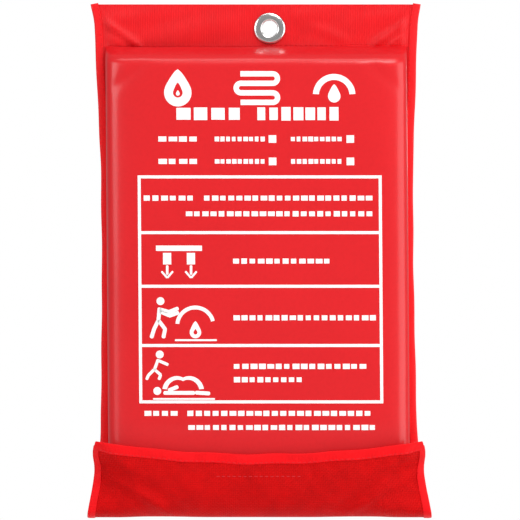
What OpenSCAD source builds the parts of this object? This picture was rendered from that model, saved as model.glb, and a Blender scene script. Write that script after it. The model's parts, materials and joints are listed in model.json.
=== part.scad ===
// Fire blanket in a hanging fabric pouch.
// +Z is up, the front faces -Y, and the back panel lies in the plane y = 0.
// The origin is the middle of the hanging eyelet, on that back plane.

/* [Pouch] */
// Sideways offset of the pouch's middle from the eyelet
pouch_shift_x = -7; // [-12:1:12]
// Half the pouch's width over the side bindings, halfway down
body_half_w = 99; // [98:1:104]
// Height of the header's top edge above the eyelet's middle
header_top_z = 15.3; // [14:0.1:18]
// Height of the seam between the header and the front panel
header_seam_z = -11; // [-13:0.5:-10.5]
// Height of the lower edge of the front panel, which is the pouch's mouth
mouth_z = -287.5; // [-288:0.5:-286.5]
// How far the front panel bulges out from the back panel
bulge_depth = 25.8; // [25.6:0.1:26]
// Half the width of the bulge at the side seams
bulge_half_w = 95; // [94.5:0.5:95]
// Height over which the bulge grows below the header seam
shoulder_h = 14; // [12:1:14]

/* [Cloth] */
// Thickness of the woven back panel
back_t = 1.2; // [1:0.1:1.2]
// Thickness of the coated front panel and the header facing
skin_t = 0.8; // [0.6:0.1:0.8]
// Width of the tape that binds the side seams
binding_w = 5; // [4:0.5:6]
// Thickness of the binding tape
binding_t = 0.6; // [0.5:0.1:0.7]

/* [Eyelet] */
// Radius of the eyelet's hole
eyelet_hole_r = 5; // [4.5:0.5:5]
// Outer radius of the eyelet's flange
eyelet_flange_r = 10; // [9:0.5:10]

/* [Flap] */
// Height of the hinge line along the bottom fold
fold_z = -307.5; // [-308:0.5:-307]
// Upward slope of the flap's lower half when it is closed, in degrees
web_angle = 33; // [32:0.5:34]
// Height of the flap's top edge at its two sides
flap_side_z = -261.5; // [-263:0.5:-260]
// How far the flap's top edge sags in the middle
flap_sag = 8; // [4:1:9]
// Half the width of the flap along its front crease
flap_half_w = 104; // [100:1:106]
// Half the width of the flap along the bottom fold
fold_half_w = 108.5; // [105:0.5:110]
// Thickness of the flap's cloth
flap_t = 1.2; // [1:0.1:1.2]

/* [Fastener] */
// Width of the hook-and-loop tapes
tape_w = 55; // [30:1:80]
// Height of the hook-and-loop tapes
tape_h = 14; // [10:1:14]
// Thickness of each tape
tape_t = 1; // [0.8:0.1:1]

/* [Blanket] */
// Half the width of the folded blanket
pack_half_w = 89; // [80:1:89]
// Height of the folded blanket's upper edge
pack_top_z = -22; // [-30:1:-22]
// Height of the folded blanket's lower edge
pack_bottom_z = -262; // [-262:1:-240]
// Distance of the folded blanket's front face from the back plane
pack_front_y = 24; // [20:0.5:24]
// Radius of the folded blanket's edges
pack_fold_r = 9; // [6:0.5:9]

/* [Pull tabs] */
// Width of each pull tab
tab_w = 25; // [20:1:38]
// Length of each pull tab below the blanket
tab_l = 23; // [15:1:24]
// Distance between the middles of the two tabs
tab_spacing = 100; // [80:2:140]
// Distance of the tabs' hinge line from the back plane
tab_y = 20; // [19:0.5:20.5]

/* [Hidden] */
$fn = 48;

LEFT = -1;
RIGHT = 1;

// Squareness of the bulge's outline: 2 is an ellipse, and higher is boxier
bulge_power = 8;
// Squareness of the bulge's rounding below the header
shoulder_power = 2.6;
// Facets over half of the bulge's outline, and down its shoulder
bulge_steps = 14;
shoulder_steps = 8;

// Thickness of the binding where it wraps round the side edge
edge_wrap = 0.8;
// Room that keeps one sewn layer out of the next
layer_room = 0.1;

// Depths of the layers in front of the back plane
facing_y = back_t + skin_t;
binding_y = facing_y + binding_t;
front_y = back_t + bulge_depth;

// The eyelet's barrel, and the washer that is sunk into the back panel
barrel_r = eyelet_hole_r + 0.8;
washer_r = eyelet_flange_r - 0.5;
washer_t = 0.6;

// The flap's hinge line, and the crease where its lower half meets its upper half
fold_y = 1.6;
fold_r = 1.5;
slide_room = 0.4;
crease_r = 1.2;
loop_front_y = front_y + tape_t;
hook_gap = 0.3;
flap_back_y = loop_front_y + hook_gap + tape_t;
flap_front_y = flap_back_y + flap_t;
crease_y = flap_back_y + flap_t / 2;
crease_z = fold_z + (crease_y - fold_y) * tan(web_angle);
web_l = (crease_y - fold_y) / cos(web_angle);
panel_gap = 0.4;
panel_low_z = crease_z + crease_r + panel_gap;
flap_binding_w = 5.5;
flap_top_binding_w = 6.5;
flap_binding_t = 0.5;
flap_sag_steps = 16;

// Height of the turned hem inside the mouth
hem_h = 7;

// Height of the hook-and-loop tapes' lower edge, and the rows of stitches in from their edges
tape_low_z = mouth_z + 1;
tape_stitch_inset = 1.4;

// Stitches: length, pitch, width and height above the cloth
stitch_l = 2.8;
stitch_pitch = 4.4;
stitch_w = 0.6;
stitch_t = 0.35;
stitch_inset = 1;

ink_t = 0.25;

tab_t = 1.2;
tab_bead_r = 0.9;
tab_gap = 0.4;
tab_hinge_z = pack_bottom_z - tab_bead_r - tab_gap;

// Half width of the back panel at a height, flared at the top corners and at the bottom fold
function edge_half(z) = body_half_w + lookup(z, [
    [fold_z, 7.5], [fold_z + 20, 4], [fold_z + 52, 1], [fold_z + 100, 0.3],
    [-150, -0.6], [-84, -0.4], [-46, 0.8], [-14, 2], [header_top_z - 8, 2.8], [header_top_z, 4.4]]);
// Half width at which the binding's front leg ends, clear of the bulge
function binding_inner(z) = max(edge_half(z) - binding_w, bulge_half_w + layer_room);
edge_z = [fold_z + fold_r + panel_gap, fold_z + 20, fold_z + 52, fold_z + 100, -150, -84, -46, -14,
    header_top_z - 8, header_top_z];

// Depth of the bulge at a distance from its middle
function bulge_at(x, half_w = bulge_half_w, depth = bulge_depth) =
    depth * pow(1 - pow(abs(x) / half_w, bulge_power), 1 / bulge_power);

// Points of the bulge's outline, from the right seam over the front to the left seam
function bulge_outline(half_w, depth) = [
    for (i = [0 : 2 * bulge_steps])
        let (a = 90 * i / bulge_steps, c = cos(a), s = sin(a))
        [half_w * sign(c) * pow(abs(c), 2 / bulge_power), -back_t - depth * pow(abs(s), 2 / bulge_power)]];

// Share of the full depth that the bulge has at a height below the header seam
function shoulder_at(z) =
    let (t = min(1, (header_seam_z - z) / shoulder_h))
    pow(1 - pow(1 - t, shoulder_power), 1 / shoulder_power);

// Height of the flap's top edge at a distance from its middle
function flap_top(x) = flap_side_z - flap_sag * (1 - pow(x / flap_half_w, 2));

// Closed solid between two stacks of rings with equal numbers of points
module shell_between(outer, inner) {
    rows = len(outer);
    n = len(outer[0]);
    points = [for (ring = outer) each ring, for (ring = inner) each ring];
    inner_at = rows * n;
    faces = [
        for (r = [0 : rows - 2]) for (i = [0 : n - 2]) each [
            [r * n + i, r * n + i + 1, (r + 1) * n + i + 1],
            [r * n + i, (r + 1) * n + i + 1, (r + 1) * n + i],
            [inner_at + r * n + i, inner_at + (r + 1) * n + i + 1, inner_at + r * n + i + 1],
            [inner_at + r * n + i, inner_at + (r + 1) * n + i, inner_at + (r + 1) * n + i + 1]],
        for (i = [0 : n - 2]) each [
            [i, inner_at + i, inner_at + i + 1],
            [i, inner_at + i + 1, i + 1],
            [(rows - 1) * n + i, inner_at + (rows - 1) * n + i + 1, inner_at + (rows - 1) * n + i],
            [(rows - 1) * n + i, (rows - 1) * n + i + 1, inner_at + (rows - 1) * n + i + 1]],
        for (r = [0 : rows - 2]) each [
            [r * n, (r + 1) * n, inner_at + (r + 1) * n],
            [r * n, inner_at + (r + 1) * n, inner_at + r * n],
            [r * n + n - 1, inner_at + (r + 1) * n + n - 1, (r + 1) * n + n - 1],
            [r * n + n - 1, inner_at + r * n + n - 1, inner_at + (r + 1) * n + n - 1]]];
    polyhedron(points, faces);
}

// Turns an outline drawn in x and z into a sheet between two depths in front of the back plane
module sheet_between(near_y, far_y) {
    translate([0, -near_y, 0]) rotate([90, 0, 0]) linear_extrude(far_y - near_y) children();
}

// Box between two depths, from its low corner in x and z
module plate(x, z, w, h, near_y, far_y) {
    translate([x, -far_y, z]) cube([w, far_y - near_y, h]);
}

module pouch_place() {
    translate([pouch_shift_x, 0, 0]) children();
}

// One row of stitches along x, on cloth whose front is at the depth y
module stitch_row(half_l, z, y) {
    count = floor(half_l / stitch_pitch);
    for (i = [-count : count])
        plate(i * stitch_pitch - stitch_l / 2, z - stitch_w / 2, stitch_l, stitch_w, y, y + stitch_t);
}

// Outline of the back panel in x and z
module back_outline(inset) {
    polygon([
        for (z = edge_z) [edge_half(z) - inset, z],
        for (i = [len(edge_z) - 1 : -1 : 0]) [-edge_half(edge_z[i]) + inset, edge_z[i]]]);
}

module back_panel() {
    color("#B8141C") difference() {
        pouch_place() sheet_between(0, back_t) back_outline(edge_wrap);
        rotate([90, 0, 0]) cylinder(r = barrel_r, h = 3 * back_t, center = true);
        rotate([90, 0, 0]) cylinder(r = washer_r, h = 2 * washer_t, center = true);
    }
}

// Rings of the bulge from its lower edge up to the header seam
bulge_rows = [mouth_z, for (i = [shoulder_steps : -1 : 0]) header_seam_z - shoulder_h * pow(i / shoulder_steps, 2)];
function bulge_rings(inset, flat_depth) = [
    for (z = bulge_rows)
        let (depth = flat_depth + (bulge_depth - skin_t) * shoulder_at(z))
        [for (p = bulge_outline(bulge_half_w - inset, depth)) [p[0], p[1], z]]];

// Heights between the mouth and the header seam at which the side edges change direction
panel_z = [mouth_z, for (z = edge_z) if (z > mouth_z && z < header_seam_z) z, header_seam_z];

module front_panel() {
    seam_x = bulge_half_w - skin_t / 2;
    color("#E62B30") pouch_place() {
        shell_between(bulge_rings(0, skin_t), bulge_rings(skin_t, 0));
        for (side = [LEFT, RIGHT])
            sheet_between(back_t, facing_y) polygon([
                for (z = panel_z) [side * (edge_half(z) - edge_wrap), z],
                [side * seam_x, header_seam_z],
                [side * seam_x, mouth_z]]);
    }
}

module header_facing() {
    color("#EE1F2A") difference() {
        pouch_place() sheet_between(back_t, facing_y) polygon([
            for (side = [LEFT, RIGHT]) each [
                for (z = side == LEFT
                        ? [header_top_z, header_top_z - 8, header_seam_z]
                        : [header_seam_z, header_top_z - 8, header_top_z])
                    [side * (edge_half(z) - edge_wrap), z]]]);
        rotate([90, 0, 0]) cylinder(r = barrel_r, h = 6 * back_t, center = true);
    }
}

// Tape folded over one side edge: a leg on the front and a wall round the edge
module side_binding(side) {
    color("#FA1B2B") pouch_place() {
        sheet_between(facing_y, binding_y) polygon([
            for (z = edge_z) [side * edge_half(z), z],
            for (i = [len(edge_z) - 1 : -1 : 0]) [side * binding_inner(edge_z[i]), edge_z[i]]]);
        sheet_between(0, facing_y) polygon([
            for (z = edge_z) [side * edge_half(z), z],
            for (i = [len(edge_z) - 1 : -1 : 0]) [side * (edge_half(edge_z[i]) - edge_wrap), edge_z[i]]]);
    }
}

module left_side_binding() { side_binding(LEFT); }
module right_side_binding() { side_binding(RIGHT); }

module mouth_hem() {
    inner = bulge_outline(bulge_half_w - 2 * skin_t, bulge_depth - 2 * skin_t);
    outer = bulge_outline(bulge_half_w - skin_t, bulge_depth - skin_t);
    color("#D8222A") pouch_place() translate([0, 0, mouth_z]) linear_extrude(hem_h)
        polygon([each outer, for (i = [len(inner) - 1 : -1 : 0]) inner[i]]);
}

module loop_tape() {
    color("#A81018") pouch_place()
        plate(-tape_w / 2, tape_low_z, tape_w, tape_h, front_y, loop_front_y);
}

// Barrel, flange and rolled rim in one turned piece
module eyelet() {
    flange_t = 0.7;
    rim_r = 1;
    rim_y = facing_y + flange_t;
    edge_r = flange_t / 2;
    color("silver") rotate([90, 0, 0]) rotate_extrude($fn = 96) {
        translate([eyelet_hole_r, 0]) square([barrel_r - eyelet_hole_r, rim_y]);
        translate([eyelet_hole_r, facing_y]) square([eyelet_flange_r - eyelet_hole_r - edge_r, flange_t]);
        translate([eyelet_flange_r - edge_r, facing_y + edge_r]) circle(r = edge_r, $fn = 24);
        translate([eyelet_hole_r + rim_r, rim_y]) intersection() {
            circle(r = rim_r, $fn = 32);
            translate([-rim_r, 0]) square(2 * rim_r);
        }
    }
}

module eyelet_washer() {
    color("silver") rotate([90, 0, 0]) difference() {
        cylinder(r = washer_r, h = washer_t);
        translate([0, 0, -washer_t]) cylinder(r = barrel_r, h = 3 * washer_t);
    }
}

module header_stitching() {
    color("#9E0F16") pouch_place() stitch_row(90, header_seam_z + 0.6, facing_y);
}

module side_stitching() {
    row_z = [for (z = [fold_z + 8 : stitch_pitch : header_top_z - 5]) z];
    color("#9E0F16") pouch_place()
        for (side = [LEFT, RIGHT]) for (z = row_z)
            plate(side * (binding_inner(z) + stitch_inset) - stitch_w / 2, z, stitch_w, stitch_l,
                binding_y, binding_y + stitch_t);
}

module hem_stitching() {
    color("#9E0F16") pouch_place()
        for (x = [-18 * stitch_pitch : stitch_pitch : 18 * stitch_pitch])
            if (abs(x) > tape_w / 2 + stitch_pitch)
                let (y = back_t + bulge_at(abs(x) - stitch_l / 2))
                    plate(x - stitch_l / 2, mouth_z + hem_h - 2 * stitch_inset, stitch_l, stitch_w, y, y + stitch_t);
}

module loop_tape_stitching() {
    color("#9E0F16") pouch_place()
        for (z = [tape_low_z + tape_stitch_inset, tape_low_z + tape_h - tape_stitch_inset])
            for (i = [-5 : 5])
                plate(i * stitch_pitch - stitch_l / 2, z, stitch_l, stitch_w, loop_front_y, loop_front_y + 0.15);
}

/* Print: generic marks in place of words and drawings */

// Title: three marks in a row over two bars
mark_x = [-51, -2, 47];
mark_z = -38;
mark_s = 22;
subtitle = [-50.5, -54.8, 103, 7, [4, 6]];

// Frame round the instructions, with the lines between its cells
print_left = -75.5;
print_w = 153.5;
frame_top_z = -93;
frame_low_z = -237;
frame_line = 1.9;
divider_z = [-129, -163, -200];

// Rows of bars: start, height, width and the share of each bar
text_h = 4.4;
text_rows = [
    [print_left + 4.5, -107.7, 144, [4, 2, 6, 7, 5]],
    [print_left + 30.5, -117.6, 118, [3, 4, 7, 4]],
    [-16, -147.4, 62, [3, 4, 2]],
    [-16, -183, 92, [5, 4, 4]],
    [-16, -213.7, 84, [3, 5, 4]],
    [-16, -222.2, 44, [4, 2]],
    [print_left + 2.5, -243.3, 144, [4, 7, 3, 3, 3]],
    [print_left + 31.5, -252.2, 119, [3, 3, 6, 3]]];

// Two rows of size bars, each with two square boxes
size_row_z = [-70.5, -84.5];
size_bars = [[-62, 27, [2, 1, 1]], [-27, 33, [3, 3]], [22, 33, [3, 3]]];
box_x = [8, 57];
box_s = 5;
word_gap = 2.2;

// Keeps only the thin layer of the children that lies on the bulged front panel
module ink() {
    outer = bulge_outline(bulge_half_w + ink_t, bulge_depth + ink_t);
    inner = bulge_outline(bulge_half_w, bulge_depth);
    color("white") pouch_place() intersection() {
        sheet_between(front_y - bulge_depth / 6, front_y + 2 * ink_t) children();
        translate([0, 0, mouth_z]) linear_extrude(header_seam_z - shoulder_h - mouth_z)
            polygon([each outer, for (i = [len(inner) - 1 : -1 : 0]) inner[i]]);
    }
}

module bar(x, z, w, h) {
    translate([x, z - h / 2]) square([w, h]);
}

// Row of short bars of varied lengths that stands for a line of words
module word_row(x, z, w, h, words) {
    total = [for (k = words) 1] * words;
    unit = (w - word_gap * (len(words) - 1)) / total;
    starts = [for (i = 0, s = 0; i < len(words); s = s + words[i] * unit + word_gap, i = i + 1) s];
    for (i = [0 : len(words) - 1]) bar(x + starts[i], z, words[i] * unit, h);
}

// Flame: a drop on a round base, with a smaller drop cut out of it
module flame_mark(s) {
    difference() {
        union() {
            circle(r = 0.3 * s);
            polygon([[-0.29 * s, 0.08 * s], [0.05 * s, 0.68 * s], [0.29 * s, 0.08 * s]]);
        }
        translate([0.02 * s, -0.08 * s]) {
            circle(r = 0.12 * s);
            polygon([[-0.115 * s, 0.03 * s], [0, 0.3 * s], [0.115 * s, 0.03 * s]]);
        }
    }
}

// Folded blanket: three stacked layers joined by round folds
module folded_mark(s) {
    for (i = [0 : 2]) bar(-0.42 * s, (0.3 - 0.3 * i) * s, 0.84 * s, 0.11 * s);
    for (i = [0, 1]) translate([(i == 0 ? 0.42 : -0.42) * s, (0.15 - 0.3 * i) * s]) difference() {
        circle(r = 0.205 * s);
        circle(r = 0.095 * s);
        translate([i == 0 ? -0.3 * s : 0, -0.3 * s]) square([0.3 * s, 0.6 * s]);
    }
}

// Blanket laid over a flame: an arch above a small flame
module cover_mark(s) {
    difference() {
        circle(r = 0.48 * s);
        circle(r = 0.37 * s);
        translate([-0.6 * s, -0.6 * s]) square([1.2 * s, 0.52 * s]);
    }
    translate([0, -0.16 * s]) flame_mark(0.55 * s);
}

module printed_title() {
    ink() {
        translate([mark_x[0], mark_z - mark_s * 0.1]) flame_mark(mark_s * 1.1);
        translate([mark_x[1], mark_z]) folded_mark(mark_s);
        translate([mark_x[2], mark_z - mark_s * 0.1]) cover_mark(mark_s);
        word_row(subtitle[0], subtitle[1], subtitle[2], subtitle[3], subtitle[4]);
    }
}

module printed_frame() {
    ink() {
        difference() {
            translate([print_left, frame_low_z]) square([print_w, frame_top_z - frame_low_z]);
            translate([print_left + frame_line, frame_low_z + frame_line])
                square([print_w - 2 * frame_line, frame_top_z - frame_low_z - 2 * frame_line]);
        }
        for (z = divider_z) bar(print_left, z, print_w, frame_line);
    }
}

module printed_text() {
    ink() {
        for (z = size_row_z) {
            for (b = size_bars) word_row(b[0], z, b[1], text_h, b[2]);
            for (x = box_x) bar(x, z, box_s, box_s);
        }
        for (row = text_rows) word_row(row[0], row[1], row[2], text_h, row[3]);
    }
}

// Arrow that points down, with its tip at the local origin
module down_arrow(h, w) {
    polygon([[0, 0], [w / 2, h * 0.45], [-w / 2, h * 0.45]]);
    bar(-w * 0.16, h * 0.7, w * 0.32, h * 0.6);
}

// Standing figure with a round head and one arm held out, its feet at the local origin
module figure_mark(h, side) {
    translate([0, 0.88 * h]) circle(r = 0.11 * h);
    polygon([[-0.13 * h, 0.74 * h], [0.13 * h, 0.74 * h], [0.17 * h, 0.3 * h], [0.12 * h, 0],
        [0.02 * h, 0], [0, 0.28 * h], [-0.02 * h, 0], [-0.12 * h, 0], [-0.17 * h, 0.3 * h]]);
    polygon([[0, 0.72 * h], [side * 0.42 * h, 0.62 * h], [side * 0.42 * h, 0.54 * h], [0, 0.56 * h]]);
}

module printed_pictograms() {
    picture_x = -53;
    ink() {
        // A pouch with two tabs and two arrows that point down
        bar(picture_x - 14, -138.5, 28, 6);
        for (side = [LEFT, RIGHT]) {
            bar(picture_x + side * 8 - 2, -145, 4, 5);
            translate([picture_x + side * 8, -157.5]) down_arrow(9, 9);
        }
        // A figure that holds a blanket over a flame
        translate([picture_x - 15, -195]) figure_mark(26, RIGHT);
        translate([picture_x + 12, -186]) cover_mark(22);
        translate([picture_x - 4, -195.5]) square([32, 1.6]);
        // A figure that lies under a blanket
        translate([picture_x - 16, -224]) circle(r = 3.4);
        translate([picture_x - 11, -228]) square([36, 5]);
        difference() {
            translate([picture_x + 8, -222]) circle(r = 13);
            translate([picture_x + 8, -224]) circle(r = 11.2);
            translate([picture_x - 8, -238]) square([34, 15]);
        }
    }
}

/* Flap, drawn closed */

// Places children drawn flat in x and y on the flap's lower half, with y running up its slope
module web_place() {
    pouch_place() translate([0, -fold_y, fold_z]) rotate([-web_angle, 0, 0]) rotate([0, 0, 180]) children();
}

function web_half(s) = fold_half_w + (flap_half_w - fold_half_w) * s / web_l;

module bottom_fold() {
    color("#C90C10") pouch_place() translate([0, -fold_y, fold_z]) rotate([0, 90, 0])
        cylinder(r = fold_r, h = 2 * fold_half_w, center = true);
}

module flap_web() {
    color("#C90C10") web_place() translate([0, 0, -flap_t / 2]) linear_extrude(flap_t)
        polygon([
            [-web_half(fold_r), fold_r], [web_half(fold_r), fold_r],
            [web_half(web_l), web_l - crease_r], [-web_half(web_l), web_l - crease_r]]);
}

// Tape on the outer side of the flap's lower half, along one side edge
module web_binding(side) {
    low = fold_r + 0.5;
    high = web_l - crease_r - panel_gap;
    color("#E01A24") web_place() translate([0, 0, -flap_t / 2 - flap_binding_t]) linear_extrude(flap_binding_t)
        polygon([
            [-side * web_half(low), low], [-side * web_half(web_l), high],
            [-side * (web_half(web_l) - flap_binding_w), high],
            [-side * (web_half(low) - flap_binding_w), low]]);
}

module web_left_binding() { web_binding(LEFT); }
module web_right_binding() { web_binding(RIGHT); }

module flap_crease() {
    color("#C90C10") pouch_place() translate([0, -crease_y, crease_z]) rotate([0, 90, 0])
        cylinder(r = crease_r, h = 2 * flap_half_w, center = true);
}

flap_edge_x = [for (i = [0 : flap_sag_steps]) flap_half_w * (2 * i / flap_sag_steps - 1)];

module flap_panel() {
    color("#D8161D") pouch_place() sheet_between(flap_back_y, flap_front_y) polygon([
        [-flap_half_w, panel_low_z],
        for (x = flap_edge_x) [x, flap_top(x)],
        [flap_half_w, panel_low_z]]);
}

module flap_top_binding() {
    color("#E01A24") pouch_place()
        sheet_between(flap_front_y, flap_front_y + flap_binding_t) polygon([
            for (x = flap_edge_x) [x, flap_top(x)],
            for (i = [flap_sag_steps : -1 : 0]) [flap_edge_x[i], flap_top(flap_edge_x[i]) - flap_top_binding_w]]);
}

module flap_side_binding(side) {
    low_z = panel_low_z + panel_gap;
    inner = flap_half_w - flap_binding_w;
    color("#E01A24") pouch_place()
        sheet_between(flap_front_y, flap_front_y + flap_binding_t) polygon([
            [side * flap_half_w, low_z],
            [side * flap_half_w, flap_top(flap_half_w) - flap_top_binding_w],
            [side * inner, flap_top(inner) - flap_top_binding_w - layer_room],
            [side * inner, low_z]]);
}

module flap_left_binding() { flap_side_binding(LEFT); }
module flap_right_binding() { flap_side_binding(RIGHT); }

module hook_tape() {
    color("#8E0D14") pouch_place()
        plate(-tape_w / 2, tape_low_z, tape_w, tape_h, flap_back_y - tape_t, flap_back_y);
}

module flap_stitching() {
    color("#8E0D14") pouch_place()
        for (x = [-22 * stitch_pitch : stitch_pitch : 22 * stitch_pitch])
            plate(x - stitch_l / 2, flap_top(x) - flap_top_binding_w + stitch_inset, stitch_l, stitch_w,
                flap_front_y + flap_binding_t, flap_front_y + flap_binding_t + 0.2);
}

module hook_tape_stitching() {
    color("white") pouch_place() stitch_row(tape_w / 2, tape_low_z + tape_stitch_inset, flap_front_y);
}

/* Blanket, folded */

// Rectangle with round corners, centred
module round_slab(w, h, r) {
    square([w, h - 2 * r], center = true);
    square([w - 2 * r, h], center = true);
    for (x = [-1, 1]) for (y = [-1, 1])
        translate([x * (w / 2 - r), y * (h / 2 - r)]) circle(r = r);
}

// The blanket slides out in front of the bottom fold
pack_back_y = fold_y + fold_r + slide_room;
pack_depth = pack_front_y - pack_back_y;
pack_h = pack_top_z - pack_bottom_z;

module blanket_pack() {
    color("white") pouch_place() translate([0, -(pack_back_y + pack_depth / 2), (pack_top_z + pack_bottom_z) / 2])
        intersection() {
            linear_extrude(pack_h, center = true) round_slab(2 * pack_half_w, pack_depth, pack_fold_r);
            rotate([0, 90, 0]) linear_extrude(2 * pack_half_w, center = true)
                round_slab(pack_h, pack_depth, pack_fold_r);
        }
}

// Strip of edge tape that shows along the folded blanket's underside
module blanket_hem() {
    hem_w = 4;
    hem_t = 0.6;
    hem_half_w = pack_half_w - pack_fold_r - 3;
    color("gainsboro") pouch_place()
        translate([-hem_half_w, -(pack_back_y + pack_depth / 2) - hem_w / 2, pack_bottom_z - hem_t])
            cube([2 * hem_half_w, hem_w, hem_t]);
}

// Webbing tab that hangs from a round bead on its hinge line
module pull_tab(side) {
    color("#F4F0E6") pouch_place() translate([side * tab_spacing / 2, -tab_y, tab_hinge_z]) {
        rotate([0, 90, 0]) cylinder(r = tab_bead_r, h = tab_w, center = true);
        translate([-tab_w / 2, -tab_t / 2, -tab_l]) cube([tab_w, tab_t, tab_l]);
    }
}

module left_pull_tab() { pull_tab(LEFT); }
module right_pull_tab() { pull_tab(RIGHT); }

// Square of stitches on the front of one tab
module tab_stitching(side) {
    box = 13;
    per_side = 4;
    pitch = box / per_side;
    gap = 0.9;
    low_z = tab_hinge_z - 4 - box;
    y = tab_y + tab_t / 2;
    color("#B8141C") pouch_place() translate([side * tab_spacing / 2, 0, 0])
        for (i = [0 : per_side - 1]) {
            for (z = [low_z, low_z + box])
                plate(-box / 2 + i * pitch + gap / 2, z - stitch_w / 2, pitch - gap, stitch_w, y, y + 0.3);
            for (x = [-box / 2, box / 2])
                plate(x - stitch_w / 2, low_z + i * pitch + gap / 2, stitch_w, pitch - gap, y, y + 0.3);
        }
}

module left_tab_stitching() { tab_stitching(LEFT); }
module right_tab_stitching() { tab_stitching(RIGHT); }

back_panel();
front_panel();
header_facing();
left_side_binding();
right_side_binding();
mouth_hem();
loop_tape();
eyelet();
eyelet_washer();
header_stitching();
side_stitching();
hem_stitching();
loop_tape_stitching();
printed_title();
printed_frame();
printed_text();
printed_pictograms();
bottom_fold();
flap_web();
web_left_binding();
web_right_binding();
flap_crease();
flap_panel();
flap_top_binding();
flap_left_binding();
flap_right_binding();
hook_tape();
flap_stitching();
hook_tape_stitching();
blanket_pack();
blanket_hem();
left_pull_tab();
right_pull_tab();
left_tab_stitching();
right_tab_stitching();
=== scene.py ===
"""A fire blanket in a hanging fabric pouch: cloth, tape, thread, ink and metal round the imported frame."""
import sys
import json
import logging
import math
from collections.abc import Callable, Sequence
from dataclasses import dataclass
from enum import Enum

import bpy
import numpy as np
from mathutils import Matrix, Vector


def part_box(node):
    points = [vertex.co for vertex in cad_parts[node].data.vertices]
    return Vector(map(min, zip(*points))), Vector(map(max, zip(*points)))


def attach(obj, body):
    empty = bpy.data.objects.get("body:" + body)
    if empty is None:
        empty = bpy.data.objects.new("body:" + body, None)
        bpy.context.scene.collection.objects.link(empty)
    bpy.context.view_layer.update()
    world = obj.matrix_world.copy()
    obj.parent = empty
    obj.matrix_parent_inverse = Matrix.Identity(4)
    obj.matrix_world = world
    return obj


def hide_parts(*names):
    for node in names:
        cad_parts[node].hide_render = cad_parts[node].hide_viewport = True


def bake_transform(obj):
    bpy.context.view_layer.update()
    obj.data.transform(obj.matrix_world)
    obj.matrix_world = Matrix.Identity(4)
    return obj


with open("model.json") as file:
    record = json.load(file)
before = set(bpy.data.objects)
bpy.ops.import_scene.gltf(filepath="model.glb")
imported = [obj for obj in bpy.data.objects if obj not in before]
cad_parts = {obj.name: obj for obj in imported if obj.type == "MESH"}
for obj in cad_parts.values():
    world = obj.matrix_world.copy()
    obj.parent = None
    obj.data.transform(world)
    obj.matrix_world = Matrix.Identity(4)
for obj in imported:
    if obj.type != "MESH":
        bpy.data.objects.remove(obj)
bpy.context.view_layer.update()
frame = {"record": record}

LOG = logging.getLogger("fire_blanket")
MM = 0.001
Array = np.ndarray
FRONT = np.array([0.0, -1.0, 0.0])


class Body(str, Enum):
    """The rigid bodies that the pieces move with."""

    POUCH = "pouch"
    FLAP_LOWER = "flap_lower"
    FLAP_UPPER = "flap_upper"
    BLANKET = "blanket"
    LEFT_TAB = "left_tab"
    RIGHT_TAB = "right_tab"


class Weave(Enum):
    """How a cloth is made, which sets its surface pattern."""

    PLAIN = "plain"
    RIB = "rib"
    HERRINGBONE = "herringbone"
    TWIST = "twist"
    PILE = "pile"
    COATED = "coated"
    BARE = "bare"


# --------------------------------------------------------------------------------------------------
# Sizes read from the frame, in millimetres; depth is the distance in front of the wall
# --------------------------------------------------------------------------------------------------


def box_mm(node: str) -> tuple[Array, Array]:
    """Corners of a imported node.

    Args:
        node: The node's name.

    Returns:
        Its lowest and highest corners in millimetres.
    """
    low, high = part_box(node)
    return np.array(low, float) / MM, np.array(high, float) / MM


def joint_mm(name: str) -> Array:
    """Place of a joint's axis.

    Args:
        name: The joint's name.

    Returns:
        A point on its axis in millimetres.
    """
    row = next(j for j in frame["record"]["behaviour"]["joints"] if j["name"] == name)
    return np.array(row["pos_m"], float) / MM


@dataclass(frozen=True)
class Sizes:
    """Places that the pieces share, in millimetres."""

    centre_x: float
    top_z: float
    seam_z: float
    mouth_z: float
    front_depth: float
    bulge_half: float
    fold: Array
    crease: Array
    eyelet_r: float

    @classmethod
    def read(cls) -> "Sizes":
        """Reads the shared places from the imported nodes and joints.

        Returns:
            The filled sizes.
        """
        panel_low, panel_high = box_mm("front_panel")
        hem_low, hem_high = box_mm("mouth_hem")
        ring_low, ring_high = box_mm("eyelet")
        return cls(
            centre_x=(panel_low[0] + panel_high[0]) / 2,
            top_z=box_mm("header_facing")[1][2],
            seam_z=panel_high[2],
            mouth_z=panel_low[2],
            front_depth=-panel_low[1],
            bulge_half=(hem_high[0] - hem_low[0]) / 2 + 0.8,
            fold=joint_mm("flap_fold_hinge"),
            crease=joint_mm("flap_crease_hinge"),
            eyelet_r=(ring_high[0] - ring_low[0]) / 2,
        )


SIZES = Sizes.read()


def quadratic(t: Array, start: Array, over: Array, end: Array) -> Array:
    """Quadratic curve at t: from start, pulled towards over, to end."""
    return (1 - t) ** 2 * start + 2 * t * (1 - t) * over + t**2 * end


def smooth(t: Array) -> Array:
    """Smooth step: 0 up to t = 0 and 1 from t = 1, with level ends."""
    t = np.clip(t, 0.0, 1.0)
    return t * t * (3 - 2 * t)


def lean(z: Array) -> Array:
    """Sideways lean of the hanging cloth in millimetres, which grows evenly from the fold to the top."""
    share = (np.asarray(z) - SIZES.fold[2]) / (SIZES.top_z - SIZES.fold[2])
    return 0.6 - 2.4 * share


def place(x: Array, depth: Array, z: Array) -> Array:
    """Puts cloth coordinates into the frame.

    Args:
        x: Distance right of the pouch's middle line.
        depth: Distance in front of the wall.
        z: Height.

    Returns:
        Points with x, y and z last, still in millimetres.
    """
    x, depth, z = np.broadcast_arrays(x, depth, z)
    return np.stack([x + SIZES.centre_x + lean(z), -depth, z], axis=-1)


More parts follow.
